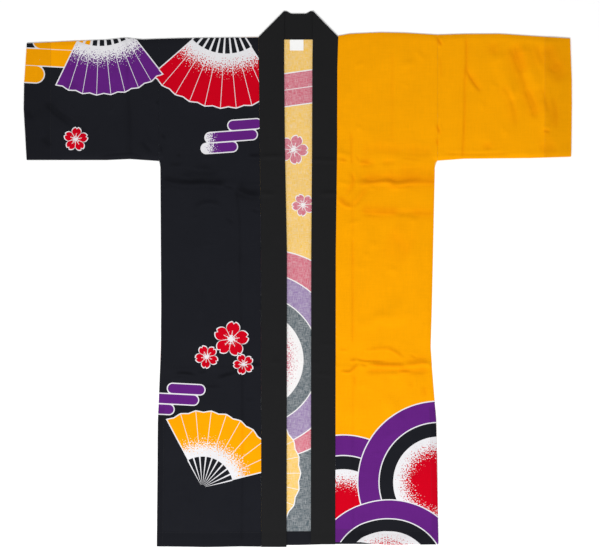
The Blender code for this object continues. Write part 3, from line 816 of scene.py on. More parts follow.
def makeBody(materials):
    rows, columns = bodyRows(), bodyColumns()
    names = [layer for layer, _ in rows]
    cloth = layers["cloth"]
    x, y, z, v, hem, paintedShade = (np.zeros((len(rows), len(columns))) for _ in range(6))
    hem -= 1
    for index, (layer, value) in enumerate(rows):
        onFront = layer.startswith("front")
        level = value
        if layer == "turn":
            level = shoulderLine
        elif layer.endswith("Foot"):
            level = hemLine + cloth
        x[index] = bodyX(columns, level)
        rise = readAt(frontHem if onFront else backHem, "rise", x[index])
        top = shoulderY(x[index]) - cloth / 2 - turnRadius
        shift = top - shoulderLine
        if layer == "turn":
            y[index], z[index], v[index] = overShoulder(top, value)
            continue
        if level == shoulderLine:
            neckShift = -cut["seamGap"] - neckSag((columns + 1) / 2)
            shift = np.where(np.abs(columns) < 1, neckShift, shift)
        y[index] = level + nearEdge(level, hemLine) * rise + nearEdge(level, shoulderLine) * shift
        v[index] = level
        z[index] = layers["front" if onFront else "back"]
        # past the foot the cloth turns in and lies on its own inside
        inward = -cloth if onFront else cloth
        if layer.endswith("Foot"):
            share = (1 + math.sin(value)) / 2
            y[index] -= cloth / 2 * math.cos(value)
            z[index] += inward * (share if onFront else 1 - share)
            v[index] = hemLine
        elif layer.endswith("Hem"):
            z[index] += inward
            v[index] = 2 * hemLine - level
        else:
            hem[index] = hemDepth(x[index], level)
        if not onFront:
            v[index] = 2 * shoulderLine - v[index]
    flat = [index for index, layer in enumerate(names) if layer != "turn"]
    upper = [index for index, layer in enumerate(names) if layer.startswith("front")]
    z[flat] += lowerLift(x[flat], y[flat])
    z[upper] += upperLift(x[upper], y[upper])
    # painted shade along the upper layer's creases, for its material to darken the colour with
    paintedShade[upper] = paintedCreaseShade(x[upper], y[upper], frontCreases)
    keep = np.ones((len(rows), len(columns)), bool)
    opening = (columns[:-1] + columns[1:]) / 2
    keep[names.index("turn") - 1:, :-1] = np.abs(opening) > 1
    fields = (("hemDepth", hem), ("paintedShade", paintedShade))
    return makeSheet("coatBody", x, y, z, x, v, keep, cloth, materials, fields)


sleeveSizes = {
    "step": 0.0027,
    "backStep": 0.0140,
    "width": 0.303,
    "turnSteps": 8,
}


def makeSleeve(name, side, materials):
    sign = -1 if side == "left" else 1
    columns = steps(0.0, 1.0, sleeveSizes["step"] / sleeveSizes["width"])
    if sign < 0:
        columns = columns[::-1]
    backShares = steps(0.0, 1.0, sleeveSizes["backStep"] / cut["sleeveDepth"])
    frontShares = steps(1.0, 0.0, sleeveSizes["step"] / cut["sleeveDepth"])
    rows = [("back", share) for share in backShares]
    rows += [("turn", angle) for angle in turnAngles(sleeveSizes["turnSteps"])]
    rows += [("front", share) for share in frontShares]
    x, y, z, v = (np.zeros((len(rows), len(columns))) for _ in range(4))
    armhole = abs(float(readAt(sideEdge, side, shoulderLine))) + cut["seamGap"]
    for index, (layer, value) in enumerate(rows):
        share = 1.0 if layer == "turn" else value
        cuff = cut["cuffReach"] - readAt(cuffEdge, side, underarmLine + share * cut["sleeveDepth"])
        x[index] = sign * (armhole + (cuff - armhole) * columns)
        low = underarmY(x[index])
        high = shoulderY(x[index]) - layers["cloth"] / 2 - turnRadius
        if layer == "turn":
            y[index], z[index], v[index] = overShoulder(high, value)
            continue
        y[index] = low + (high - low) * share
        v[index] = y[index] if layer == "front" else 2 * shoulderLine - y[index]
        if layer == "back":
            z[index] = layers["back"] + lowerLift(x[index], y[index])
    first = len(rows) - len(frontShares)
    z[first:] = layers["front"] + lowerLift(x[first:], y[first:]) + upperLift(x[first:], y[first:])
    # painted shade along the creases of the sleeve's upper layer, for its material to darken the colour
    # with
    paintedShade = np.zeros(np.shape(x))
    paintedShade[first:] = paintedCreaseShade(x[first:], y[first:], frontCreases)
    fields = (("hemDepth", hemDepth(x, y)), ("paintedShade", paintedShade))
    return makeSheet(name, x, y, z, x, v, None, layers["cloth"], materials, fields)


bandSizes = {
    "rowStep": 0.0040,
    "columns": 15,
    "fanRows": 14,
    "turnSteps": 12,
    "backRows": 30,
    "climb": (0.490, 0.540),  # stretch in y over which a front strip climbs onto the neck strip
    "settle": (0.03, 0.05),  # its creases begin this far under the shoulder line, over this distance
    "lift": 0.0008,
    "belly": 0.0005,
    "ripple": 0.0003,
    "rippleSize": 0.04,
    "edge": 0.0007,
}


def bandZ(y):
    start, end = bandSizes["climb"]
    onItself = smooth((y - start) / (end - start))
    return layers["bandFront"] + onItself * (layers["bandNeck"] - layers["bandFront"])


def bandEdge(side, edge, at, y):
    return Vector((float(readAt(collarEdge, side + edge, at)), y))


def bandTurnRows(side):
    # round the slanting turn at the neck, from the front strip down to the strip behind the neck
    corner = bandEdge(side, "Seam", shoulderLine, shoulderLine)
    tip = bandEdge(side, "Free", shoulderLine, neckTop)
    along = (tip - corner).normalized()
    inward = Vector((along.y, -along.x)) if side == "left" else Vector((-along.y, along.x))
    radius = (layers["bandNeck"] - layers["bandBack"]) / 2
    rows = []
    for angle in np.linspace(math.pi / 2, -math.pi / 2, bandSizes["turnSteps"] + 1):
        depth = layers["band"] / 2 + radius * (1 - math.cos(angle))
        slideBehind = -depth * inward.y / along.y
        slideBefore = -depth * inward.x / along.x
        seamSlide = slideBehind + (slideBefore - slideBehind) * max(0.0, math.sin(angle))
        freeSlide = slideBehind + (slideBefore - slideBehind) * (1 + math.sin(angle)) / 2
        seam = corner + depth * inward + seamSlide * along
        free = tip + depth * inward + freeSlide * along
        rows.append((seam, free, layers["bandBack"] + radius * (1 + math.sin(angle))))
    return rows


def bandFrontRows(side):
    rows = []
    for y in steps(hemLine, collarEdge[-2].y, bandSizes["rowStep"]):
        level = y + nearEdge(y, hemLine) * collarHem[side]
        rows.append(tuple(bandEdge(side, edge, y, level) for edge in ("Seam", "Free")))
    lastSeam, lastFree = rows[-1]
    turnSeam, turnFree, _ = bandTurnRows(side)[0]
    for share in np.linspace(0, 1, bandSizes["fanRows"] + 1)[1:-1]:
        rows.append((lastSeam.lerp(turnSeam, share), lastFree.lerp(turnFree, share)))
    return rows


def makeCollar(material):
    ends = {}
    for side in ("left", "right"):
        strip = [(seam, free, bandZ(seam.y), bandZ(free.y)) for seam, free in bandFrontRows(side)]
        turn = [(seam, free, z, z) for seam, free, z in bandTurnRows(side)]
        ends[side] = strip + turn
    rows = list(ends["left"])
    leftEnd, rightEnd = ends["left"][-1], ends["right"][-1]
    for share in np.linspace(0, 1, bandSizes["backRows"])[1:-1]:
        sag = Vector((0, float(neckSag(share))))
        seam = leftEnd[0].lerp(rightEnd[0], share) - sag
        free = leftEnd[1].lerp(rightEnd[1], share) - sag
        rows.append((seam, free, layers["bandBack"], layers["bandBack"]))
    rows += ends["right"][::-1]
    across = (1 - np.cos(np.linspace(0, math.pi, bandSizes["columns"]))) / 2
    x, y, z, u, v = (np.zeros((len(rows), len(across))) for _ in range(5))
    length = 0.0
    for index, (seam, free, seamZ, freeZ) in enumerate(rows):
        if index:
            before = rows[index - 1]
            length += ((seam + free) / 2 - (before[0] + before[1]) / 2).length
        x[index] = seam.x + (free.x - seam.x) * across
        y[index] = seam.y + (free.y - seam.y) * across
        z[index] = seamZ + (freeZ - seamZ) * across
        u[index] = cut["collarWidth"] * across
        v[index] = length
    start, ease = bandSizes["settle"]
    onFront = smooth((shoulderLine - start - y) / ease)
    soft = np.sin(np.pi * u / cut["collarWidth"])
    lift = bandSizes["lift"] + creaseHeight(x, y, collarCreases)
    ripple = 1 + wander(x, y, bandSizes["rippleSize"], noiseSeeds["band"])
    lift += bandSizes["belly"] * soft + bandSizes["ripple"] * ripple
    z += onFront * np.maximum(0, lift)
    z += drape["hemLift"] * smooth((hemLine + cut["hemWidth"] - y) / drape["hemEase"])
    return makeSheet("collarBand", x, y, z, u, v, None, layers["band"], [material],
                     bevel=bandSizes["edge"])


labelSizes = {
    "width": 0.0310,
    "height": 0.0245,
    "middle": (-0.0024, 0.5275),
    "thickness": 0.0005,
    "lift": 0.00155,
    "curl": 0.0005,
    "cornerCurl": 0.0007,
    "ripple": 0.00012,
    "rippleSize": 0.008,
    "columns": 33,
    "rows": 27,
    "edge": 0.00015,
}


def makeLabel(material):
    # a bare tape, held along its top edge, so that its lower corners curl up a little
    across = np.linspace(-0.5, 0.5, labelSizes["columns"])
    down = np.linspace(-0.5, 0.5, labelSizes["rows"])
    shareX, shareY = np.meshgrid(across, down)
    x = labelSizes["middle"][0] + labelSizes["width"] * shareX
    y = labelSizes["middle"][1] + labelSizes["height"] * shareY
    free = 0.5 - shareY
    curl = labelSizes["curl"] + labelSizes["cornerCurl"] * (2 * shareX) ** 2
    ripple = labelSizes["ripple"] * wander(x, y, labelSizes["rippleSize"], noiseSeeds["label"])
    z = labelSizes["lift"] + curl * free ** 2 + ripple
    return makeSheet("labelTape", x, y, z, x, y, None, labelSizes["thickness"], [material],
                     bevel=labelSizes["edge"])


# The print, drawn in the cloth's own layout: u runs across the coat and v up the front, over the
# shoulders and down the back, both in metres. Motifs are traditional ones: folding fans, mist
# bars, blossoms and wave scallops, each with the white line that a resist paste leaves.

printSizes = {
    "outline": 0.0025,
    "rib": 0.0012,
    "grain": 0.0030,  # size of the speckles where a dye fades into white
    "pleat": 0.004,  # depth of the pleats along a fan's rim
    "stick": 0.024,  # half the width of a fan's stick, for each metre from the fan's pivot
    "stickEdge": 0.0012,
    "pivot": 0.10,  # the sticks start this share of the way from the pivot to the leaf
    "barBlend": 0.004,
}
mistBars = ((0.0, 0.0, 1.0), (0.34, 0.92, 0.56), (-0.30, -0.92, 0.62))  # shares: aside, up, length
waveRings = (1.0, 0.74, 0.56)  # shares of the radius
blossomSizes = {
    "waist": 0.50,  # shares of the radius, here and below
    "bulge": 0.52,
    "bulgePower": 0.42,
    "nick": 0.13,
    "nickWidth": 0.16,
    "heart": 0.13,
    "stamen": 0.48,
}


def motifGroup(name, sizes, parts):
    # a motif's node group, with the point as seen from the motif's centre and turned with it
    inputs = {"Layout": "Vector", "Centre": "Vector"} | dict.fromkeys(("Turn", *sizes), "Float")
    group, add, start = addGroup(name, "ShaderNodeTree", inputs, dict.fromkeys(parts, "Float"))
    place = add("VectorMath SUBTRACT", start["Layout"], start["Centre"])
    place = add("VectorRotate", place, None, start["Turn"], rotation_type="Z_AXIS")
    return group, add, start, place


def coverAndLine(add, outside, *marks):
    # the motif covers what lies inside its edge, and is white along that edge and on its marks
    cover = add("Math LESS_THAN", outside, 0.0)
    line = add("Math GREATER_THAN", outside, -printSizes["outline"])
    for mark in marks:
        line = add("Math MAXIMUM", line, mark)
    return cover, add("Math MULTIPLY", line, cover)


def fanGroup():
    sizes, parts = ("Inner", "Outer", "Spread", "Folds"), ("Leaf", "Line", "Sticks", "Fade")
    group, add, start, place = motifGroup("folding fan", sizes, parts)
    axes, radius = add("SeparateXYZ", place).outputs, add("VectorMath LENGTH", place)
    angle = add("Math ARCTAN2", axes["X"], axes["Y"])
    fold = add("Math DIVIDE", start["Spread"], start["Folds"])
    ripple = add("Math PINGPONG", add("Math ADD", angle, start["Spread"]), fold)
    pleat = add("Math MULTIPLY", add("Math DIVIDE", ripple, fold), printSizes["pleat"])
    overRim = add("Math SUBTRACT", radius, add("Math SUBTRACT", start["Outer"], pleat))
    underInner = add("Math SUBTRACT", start["Inner"], radius)
    wide = add("Math SUBTRACT", add("Math ABSOLUTE", angle), start["Spread"])
    aside = add("Math MULTIPLY", wide, radius)
    outside = add("Math MAXIMUM", add("Math MAXIMUM", overRim, underInner), aside)
    ribPlace = add("Math MULTIPLY", ripple, radius)
    rib = add("Math LESS_THAN", ribPlace, printSizes["rib"] / 2)
    leaf, line = coverAndLine(add, outside, rib)
    sticks = add("Math LESS_THAN", ribPlace, add("Math MULTIPLY", radius, printSizes["stick"]))
    inFan = add("Math LESS_THAN", aside, printSizes["stickEdge"])
    below = add("Math LESS_THAN", radius, start["Inner"])
    above = add("Math GREATER_THAN", radius, add("Math MULTIPLY", start["Inner"], printSizes["pivot"]))
    for limit in (inFan, below, above):
        sticks = add("Math MULTIPLY", sticks, limit)
    fade = add("MapRange", radius, start["Inner"], start["Outer"])
    add("NodeGroupOutput", leaf, line, sticks, fade)
    return group


def mistGroup():
    # three rounded bars that run into each other
    group, add, start, place = motifGroup("mist bars", ("Length", "Width"), ("Bar", "Line", "Fade"))
    axes = add("SeparateXYZ", place).outputs
    nearest = None
    for sideways, level, share in mistBars:
        across = add("Math SUBTRACT", axes["X"], add("Math MULTIPLY", start["Length"], sideways))
        half = add("Math MULTIPLY", start["Length"], share / 2)
        past = add("Math SUBTRACT", add("Math ABSOLUTE", across), half)
        past = add("Math MAXIMUM", past, 0.0)
        up = add("Math SUBTRACT", axes["Y"], add("Math MULTIPLY", start["Width"], level))
        reach = add("VectorMath LENGTH", add("CombineXYZ", past, up))
        bar = add("Math SUBTRACT", reach, add("Math MULTIPLY", start["Width"], 0.5))
        if nearest is not None:
            bar = add("Math SMOOTH_MIN", nearest, bar, printSizes["barBlend"])
        nearest = bar
    fade = add("Math ADD", add("Math DIVIDE", axes["X"], start["Length"]), 0.5)
    add("NodeGroupOutput", *coverAndLine(add, nearest), fade)
    return group


def blossomGroup():
    parts = ("Petals", "Line", "Fade")
    group, add, start, place = motifGroup("five-petalled blossom", ("Radius",), parts)
    axes, radius = add("SeparateXYZ", place).outputs, add("VectorMath LENGTH", place)
    angle = add("Math ARCTAN2", axes["X"], axes["Y"])
    petal = add("Math PINGPONG", angle, math.pi / 5)
    share = add("Math MULTIPLY", petal, 5 / math.pi)
    # the petal's edge bulges from the cleft between petals, and is nicked at its tip
    bulge = add("Math COSINE", add("Math MULTIPLY", share, math.pi / 2))
    bulge = add("Math POWER", bulge, blossomSizes["bulgePower"])
    nick = add("MapRange", share, 0.0, blossomSizes["nickWidth"], blossomSizes["nick"], 0.0)
    edge = add("Math MULTIPLY_ADD", bulge, blossomSizes["bulge"], blossomSizes["waist"])
    edge = add("Math MULTIPLY", add("Math SUBTRACT", edge, nick), start["Radius"])
    outside = add("Math SUBTRACT", radius, edge)
    inPart = add("Math DIVIDE", radius, start["Radius"])
    heart = add("Math LESS_THAN", inPart, blossomSizes["heart"])
    # thin stamens run up the middle of each petal, and clefts part the petals
    besideTip = add("Math MULTIPLY", petal, radius)
    stamen = add("Math LESS_THAN", besideTip, printSizes["rib"] / 2)
    stamen = add("Math MULTIPLY", stamen, add("Math LESS_THAN", inPart, blossomSizes["stamen"]))
    besideCleft = add("Math MULTIPLY", add("Math SUBTRACT", math.pi / 5, petal), radius)
    cleft = add("Math LESS_THAN", besideCleft, printSizes["rib"] / 2)
    add("NodeGroupOutput", *coverAndLine(add, outside, heart, stamen, cleft), inPart)
    return group


def waveGroup():
    # one round wave scallop of nested rings
    parts = ("Wave", "Line", "Middle Ring", "Heart", "Fade")
    group, add, start, place = motifGroup("wave scallop", ("Radius",), parts)
    radius = add("VectorMath LENGTH", place)
    line, covers = None, []
    for share in waveRings:
        inside = add("Math SUBTRACT", add("Math MULTIPLY", start["Radius"], share), radius)
        covers.append(add("Math GREATER_THAN", inside, 0.0))
        near = add("Math LESS_THAN", inside, printSizes["outline"])
        near = add("Math MULTIPLY", near, covers[-1])
        line = near if line is None else add("Math MAXIMUM", line, near)
    fade = add("Math DIVIDE", add("Math DIVIDE", radius, start["Radius"]), waveRings[-1])
    whole, middle, heart = covers
    add("NodeGroupOutput", whole, line, middle, heart, fade)
    return group


# where the motifs lie: turn and spread in degrees, sizes in metres, and a v above the shoulder
# line is on the back
fans = table(
    "u v turn inner outer spread folds colour",
    (-0.160, 0.615, 188, 0.105, 0.232, 40, 9, "Red"),
    (-0.445, 0.645, 174, 0.120, 0.232, 32, 8, "Purple"),
    (-0.215, -0.470, 24, 0.070, 0.175, 52, 9, "Amber"),
    (-0.238, 0.865, 10, 0.090, 0.215, 52, 10, "Purple"),
    (0.262, 0.960, -150, 0.080, 0.190, 50, 9, "Red"),
    (-0.172, 1.530, 84, 0.066, 0.180, 54, 9, "Amber"),
    (0.470, 0.622, 4, 0.060, 0.152, 50, 9, "Red"),
)
mists = table(
    "u v turn length width colour",
    (-0.590, 0.500, 3, 0.170, 0.042, "Amber"),
    (-0.150, 0.322, -4, 0.095, 0.026, "Purple"),
    (-0.290, -0.270, 3, 0.110, 0.026, "Purple"),
    (0.060, 0.672, 8, 0.260, 0.040, "Red"),
    (0.190, 1.560, -4, 0.200, 0.038, "Purple"),
    (-0.215, 1.110, 3, 0.130, 0.032, "Purple"),
)
blossoms = table(
    "u v turn radius colour",
    (-0.150, -0.135, 10, 0.040, "Red"),
    (-0.205, -0.175, 44, 0.027, "Red"),
    (-0.122, -0.192, -20, 0.024, "Red"),
    (-0.010, 0.800, 15, 0.034, "Red"),
    (0.012, 0.925, -10, 0.026, "Red"),
    (0.180, 1.415, 0, 0.040, "Red"),
    (0.232, 1.365, 40, 0.028, "Red"),
    (-0.500, 0.315, 5, 0.028, "Red"),
)
waves = table(
    "u v radius colour",
    (-0.075, 1.262, 0.238, "Red"),
    (-0.100, 1.275, 0.202, "Purple"),
    (0.102, -0.528, 0.178, "Purple"),
    (0.318, -0.458, 0.184, "Purple"),
    (0.205, -0.668, 0.172, "Purple"),
)
dyes = ("Black", "Amber", "Purple", "Red", "White")
# between two v on the back, the edge between the two grounds bends from one u to another
groundEdge = {"fromV": 0.80, "toV": 1.62, "fromU": -0.13, "toU": 0.36}
# the shares of a motif between which its dye goes from thin to full, and how thin and full that is
speckle = {"thin": 0.24, "full": 0.84, "edge": 0.02}
fades = {"bar": (-0.20, 0.30), "heart": (1.0, 0.35), "leaf": (0.0, 0.58), "petals": (-0.10, 0.55)}


def printGroup():
    inputs = {"Layout": "Vector"} | dict.fromkeys(dyes, "Color")
    group, add, start = addGroup("festival print", "ShaderNodeTree", inputs, {"Color": "Color"})
    layout, white = start["Layout"], start["White"]
    axes = add("SeparateXYZ", layout).outputs
    grain = add("TexNoise", layout, 1 / printSizes["grain"], 1.0, 0.5)
    # the ground is black on the wearer's right and amber on the left
    edge = add("MapRange", axes["Y"], *groundEdge.values(), interpolation_type="SMOOTHSTEP")
    onFront = add("Math LESS_THAN", axes["Y"], shoulderLine)
    edge = add("Mix FLOAT", onFront, edge, 0.0)
    colour = add("Mix RGBA", add("Math GREATER_THAN", axes["X"], edge), start["Black"], start["Amber"])

    def place(tree, row, **sizes):
        turn = math.radians(getattr(row, "turn", 0))
        values = {"Layout": layout, "Centre": (row.u, row.v, 0), "Turn": turn} | sizes
        return add("Group", node_tree=tree, named=values).outputs

    def faded(motif, kind, dye):
        # dye that breaks up into speckles of white between the two places of the fade
        share = add("MapRange", motif["Fade"], *fades[kind], speckle["thin"], speckle["full"])
        share = add("Math SUBTRACT", share, grain)
        share = add("MapRange", share, -speckle["edge"], speckle["edge"])
        return add("Mix RGBA", share, white, start[dye])

    def paint(below, motif, cover, fill):
        return add("Mix RGBA", motif["Line"], add("Mix RGBA", motif[cover], below, fill), white)

    fan, mist, blossom, wave = fanGroup(), mistGroup(), blossomGroup(), waveGroup()
    for row in mists:
        motif = place(mist, row, Length=row.length, Width=row.width)
        colour = paint(colour, motif, "Bar", faded(motif, "bar", row.colour))
    for row in waves:
        motif = place(wave, row, Radius=row.radius)
        fill = add("Mix RGBA", motif["Middle Ring"], start[row.colour], start["Black"])
        fill = add("Mix RGBA", motif["Heart"], fill, faded(motif, "heart", "Red"))
        colour = paint(colour, motif, "Wave", fill)
    for row in fans:
        motif = place(fan, row, Inner=row.inner, Outer=row.outer, Spread=math.radians(row.spread),
                      Folds=row.folds)
        colour = add("Mix RGBA", motif["Sticks"], colour, white)
        colour = paint(colour, motif, "Leaf", faded(motif, "leaf", row.colour))
    for row in blossoms:
        motif = place(blossom, row, Radius=row.radius)
        colour = paint(colour, motif, "Petals", faded(motif, "petals", row.colour))
    add("NodeGroupOutput", colour)
    return group


# Cloth materials

weave = {
    "thread": 0.0010,  # the real threads are 0.45 mm apart, and are drawn coarser so that they show
    "threadShare": 0.35,  # how high the threads stand beside the slubs
    "bumpHeight": 0.0004,
    "slub": 0.00045,
    "slubLength": 0.022,
    "streak": 0.0013,
    "streakLength": 0.013,
    "streakRange": (0.42, 0.66),
    "bar": 0.0026,
    "barLength": 0.045,
    "mottle": 0.060,
    "hemEdge": 0.003,  # the shade of a hem comes in over this distance on each side of its line
}
midTones = (0.3, 0.7)  # what most of a noise lies between, and twice that for a sum of two
sumTones = (0.7, 1.3)


def newMaterial(name):
    material = bpy.data.materials.new(name)
    material.use_nodes = True
    material.node_tree.nodes.clear()
    return material, partial(addNode, material.node_tree)


def tonedColour(add, hexCode, grain, tone):
    # one colour, darker and lighter with the grain between the two shares of tone
    share = add("MapRange", grain, *midTones, *tone)
    return add("VectorMath SCALE", linear(hexCode)[:3], share)


def finishSurface(add, colour, bump, roughness, gloss=0.5):
    look = {"Base Color": colour, "Normal": bump, "Roughness": roughness, "Specular IOR Level": gloss}
    add("OutputMaterial", add("BsdfPrincipled", named=look))


def crossNoise(add, layout, along, across, roughness):
    # noise drawn out along one way of the cloth, and the same along the other way
    found = []
    for sizeX, sizeY in ((along, across), (across, along)):
        stretch = add("Mapping", layout, None, None, (1 / sizeX, 1 / sizeY, 1))
        found.append(add("TexNoise", stretch, 1.0, 2.0, roughness))
    return found


def weaveBump(add, layout, strength):
    # threads over and under each other, with thicker slubs along both ways of the cloth
    axes = add("SeparateXYZ", layout).outputs
    turns = 2 * math.pi / weave["thread"]
    waves = [add("Math SINE", add("Math MULTIPLY", axes[axis], turns)) for axis in ("X", "Y")]
    slub = add("Math ADD", *crossNoise(add, layout, weave["slubLength"], weave["slub"], 0.5))
    height = add("Math MULTIPLY_ADD", add("Math MULTIPLY", *waves), weave["threadShare"], slub)
    return add("Bump", strength, weave["bumpHeight"], named={"Height": height}), slub


def threadStreaks(add, layout):
    # single threads of both ways of the cloth that took up less dye, each a few centimetres long
    streaks = crossNoise(add, layout, weave["streakLength"], weave["streak"], 0.6)
    return add("Math MAXIMUM", *(add("MapRange", streak, *weave["streakRange"]) for streak in streaks))


def cottonSurface(add, colour, layout, look):
    # mottled, slubby colour with the weave's bump
    bump, slub = weaveBump(add, layout, look["bump"])
    if "streaks" in look:
        pale = add("Math MULTIPLY", threadStreaks(add, layout), look["streaks"])
        colour = add("Mix RGBA", pale, colour, linear(look["White"]))
    mottle = add("TexNoise", layout, 1 / weave["mottle"], 3.0, 0.55)
    # unevenly spun threads leave faint bars both ways
    bars = add("Math ADD", *crossNoise(add, layout, weave["barLength"], weave["bar"], 0.5))
    # doubled cloth at the hems lets less light through
    depth = add("Attribute", attribute_name="hemDepth").outputs["Fac"]
    double = add("MapRange", depth, -weave["hemEdge"], weave["hemEdge"], 1.0, look["hems"])
    tones = {"mottle": (mottle, midTones), "slub": (slub, sumTones), "bars": (bars, sumTones)}
    shades = [add("MapRange", tone, *spread, 1 - look[part], 1 + look[part])
              for part, (tone, spread) in tones.items()]
    shade = shades[0]
    for other in (*shades[1:], double):
        shade = add("Math MULTIPLY", shade, other)
    # painted shade: a crease hides part of the light, and what gets in bounces there and comes out a
    # deeper colour, so the colour is painted darker and deeper along the creases
    paintedShade = add("Attribute", attribute_name="paintedShade").outputs["Fac"]
    hidden = add("Math MULTIPLY", paintedShade, look["paintedShade"])
    shade = add("Math MULTIPLY", shade, add("Math SUBTRACT", 1.0, hidden))
    bounced = add("VectorMath SCALE", colour, hidden)
    colour = add("VectorMath DIVIDE", colour, add("VectorMath SUBTRACT", (1, 1, 1), bounced))
    finishSurface(add, add("VectorMath SCALE", colour, shade), bump, look["roughness"], look["gloss"])


outsideLook = {
    "Black": "#191A1F",
    "Amber": "#E99900",
    "Purple": "#5A1E73",
    "Red": "#BD0018",
    "White": "#D8D7DA",
    "gloss": 0.03,
    "bump": 0.35,
    "mottle": 0.03,
    "slub": 0.03,
    "bars": 0.028,
    "hems": 0.89,
    # how dark the painted crease shade is
    "paintedShade": 0.38,
    "roughness": 0.82,
}
insideLook = {
    "Black": "#30444D",
    "Amber": "#E8B83E",
    "Purple": "#84699B",
    "Red": "#C35168",
    "White": "#E4E2E2",
    "gloss": 0.06,
    "bump": 0.6,
    "mottle": 0.03,
    "slub": 0.06,
    "bars": 0.03,
    "hems": 1.0,
    # how dark the painted crease shade is
    "paintedShade": 0.2,
    "streaks": 0.36,
    "roughness": 0.88,
}


def printedCotton(name, printTree, look):
    # plain-weave cotton with dyed print: matt, a little mottled, its threads just showing
    material, add = newMaterial(name)
    layout = add("UVMap", uv_map="layout")
    colours = {dye: linear(look[dye]) for dye in dyes}
    pattern = add("Group", node_tree=printTree, named={"Layout": layout} | colours)
    cottonSurface(add, pattern, layout, look)
    return material


bandLook = {
    "colour": "#171718",
    "gloss": 0.10,
    "bump": 0.4,
    "mottle": 0.02,
    "slub": 0.04,
    "bars": 0.03,
    "hems": 1.0,
    # no painted crease shade on the collar
    "paintedShade": 0.0,
    "roughness": 0.80,
}
tapeLook = {
    "colour": "#F4F4F2",
    "rib": 0.0005,
    "fuzz": 0.00111,  # size of a tuft
    "tone": (0.96, 1.0),
    "bump": 0.4,
    "bumpHeight": 0.0002,
    "roughness": 0.55,
}
threadLook = {
    "colours": {"black": "#0C0D0F", "amber": "#D28A08", "white": "#EDEDEA"},
    "twist": 0.0004,
    "tone": (0.85, 1.15),
    "bump": 0.5,
    "bumpHeight": 0.0002,
    "roughness": 0.6,
}


def blackCotton():
    # piece-dyed cotton broadcloth: even and matt, with a fine weave
    material, add = newMaterial("black cotton broadcloth")
    cottonSurface(add, linear(bandLook["colour"])[:3], add("UVMap", uv_map="layout"), bandLook)
    return material


def labelTape():
    # woven polyester tape: bright white, faintly glossy, with fine ribs across it
    material, add = newMaterial("white woven label tape")
    layout = add("UVMap", uv_map="layout")
    level = add("SeparateXYZ", layout).outputs["Y"]
    ribs = add("Math SINE", add("Math MULTIPLY", level, 2 * math.pi / tapeLook["rib"]))
    fuzz = add("TexNoise", layout, 1 / tapeLook["fuzz"], 2.0, 0.5)
    height = add("Math MULTIPLY_ADD", ribs, 0.5, fuzz)
    bump = add("Bump", tapeLook["bump"], tapeLook["bumpHeight"], named={"Height": height})
    white = tonedColour(add, tapeLook["colour"], fuzz, tapeLook["tone"])
    finishSurface(add, white, bump, tapeLook["roughness"])
    return material


def sewingThread(name):
    # spun polyester thread: two plies twisted, which glint a little
    material, add = newMaterial(name + " sewing thread")
    twist = add("TexNoise", add("TexCoord").outputs["Object"], 1 / threadLook["twist"], 1.0, 0.5)
    colour = tonedColour(add, threadLook["colours"][name], twist, threadLook["tone"])
    bump = add("Bump", threadLook["bump"], threadLook["bumpHeight"], named={"Height": twist})
    finishSurface(add, colour, bump, threadLook["roughness"])
    return material


# Stitches, laid along the sewn lines by Geometry Nodes

stitchSizes = {
    "pitch": 0.0034,
    "length": 0.0024,
    "width": 0.00055,
    "height": 0.00040,
    "uneven": (0.88, 1.08),
    "proud": 0.00052,  # the thread's middle above the middle of the cloth
    "proudOnLabel": 0.00035,
    "step": 0.006,  # between the points of a route
    "fromSeam": 0.002,  # how far from a seam or an edge a route starts
    "fromFoot": 0.004,
    "fromEnds": 0.003,
    "fromLabelEdge": 0.0015,
}
stitchSeeds = {"black": 11, "amber": 12, "white": 13}


def stitchTree():
    through = {"Geometry": "Geometry"}
    inputs = through | dict.fromkeys(("Pitch", "Length", "Width", "Height"), "Float")
    inputs |= {"Seed": "Int", "Thread": "Material"}
    tree, add, start = addGroup("stitches along lines", "GeometryNodeTree", inputs, through)
    route = add("GeometryNodeMeshToCurve", start["Geometry"])
    route = add("GeometryNodeResampleCurve", route, mode="LENGTH", named={"Length": start["Pitch"]})
    along = add("GeometryNodeInputTangent")
    turn = add("FunctionNodeAlignRotationToVector", None, None, along, axis="X")
    size = add("CombineXYZ", start["Length"], start["Width"], start["Height"])
    uneven = add("FunctionNodeRandomValue FLOAT", *stitchSizes["uneven"], None, start["Seed"])
    size = add("VectorMath SCALE", size, uneven)
    grain = add("GeometryNodeMeshIcoSphere", 0.5, 1)
    named = {"Instance": grain, "Rotation": turn, "Scale": size}
    placed = add("GeometryNodeInstanceOnPoints", route, named=named)
    real = add("GeometryNodeRealizeInstances", placed)
    add("NodeGroupOutput", add("GeometryNodeSetMaterial", real, named={"Material": start["Thread"]}))
    return tree


def makeStitches(colour, tree, routes):
    # each route is a list of points along a sewn line
    name = "stitches" + colour.capitalize()
    points, edges = [], []
    for route in routes:
        first = len(points)
        points += [tuple(point) for point in route]
        edges += [(first + i, first + i + 1) for i in range(len(route) - 1)]
    mesh = bpy.data.meshes.new(name)
    mesh.from_pydata(points, edges, [])
    stitches = addObject(name, mesh)
    modifier = stitches.modifiers.new("stitches", "NODES")
    modifier.node_group = tree
    values = {size.capitalize(): stitchSizes[size] for size in ("pitch", "length", "width", "height")}
    values |= {"Seed": stitchSeeds[colour], "Thread": sewingThread(colour)}
    for socket in tree.interface.items_tree:
        if socket.in_out == "INPUT" and socket.name in values:
            modifier[socket.identifier] = values[socket.name]
    applyModifiers(stitches)
    return stitches


def upperRoute(xs, ys):
    # a sewn line on top of the upper layer
    xs, ys = np.broadcast_arrays(np.asarray(xs, float), np.asarray(ys, float))
    zs = layers["front"] + lowerLift(xs, ys) + upperLift(xs, ys) + stitchSizes["proud"]
    return list(zip(xs, ys, zs))


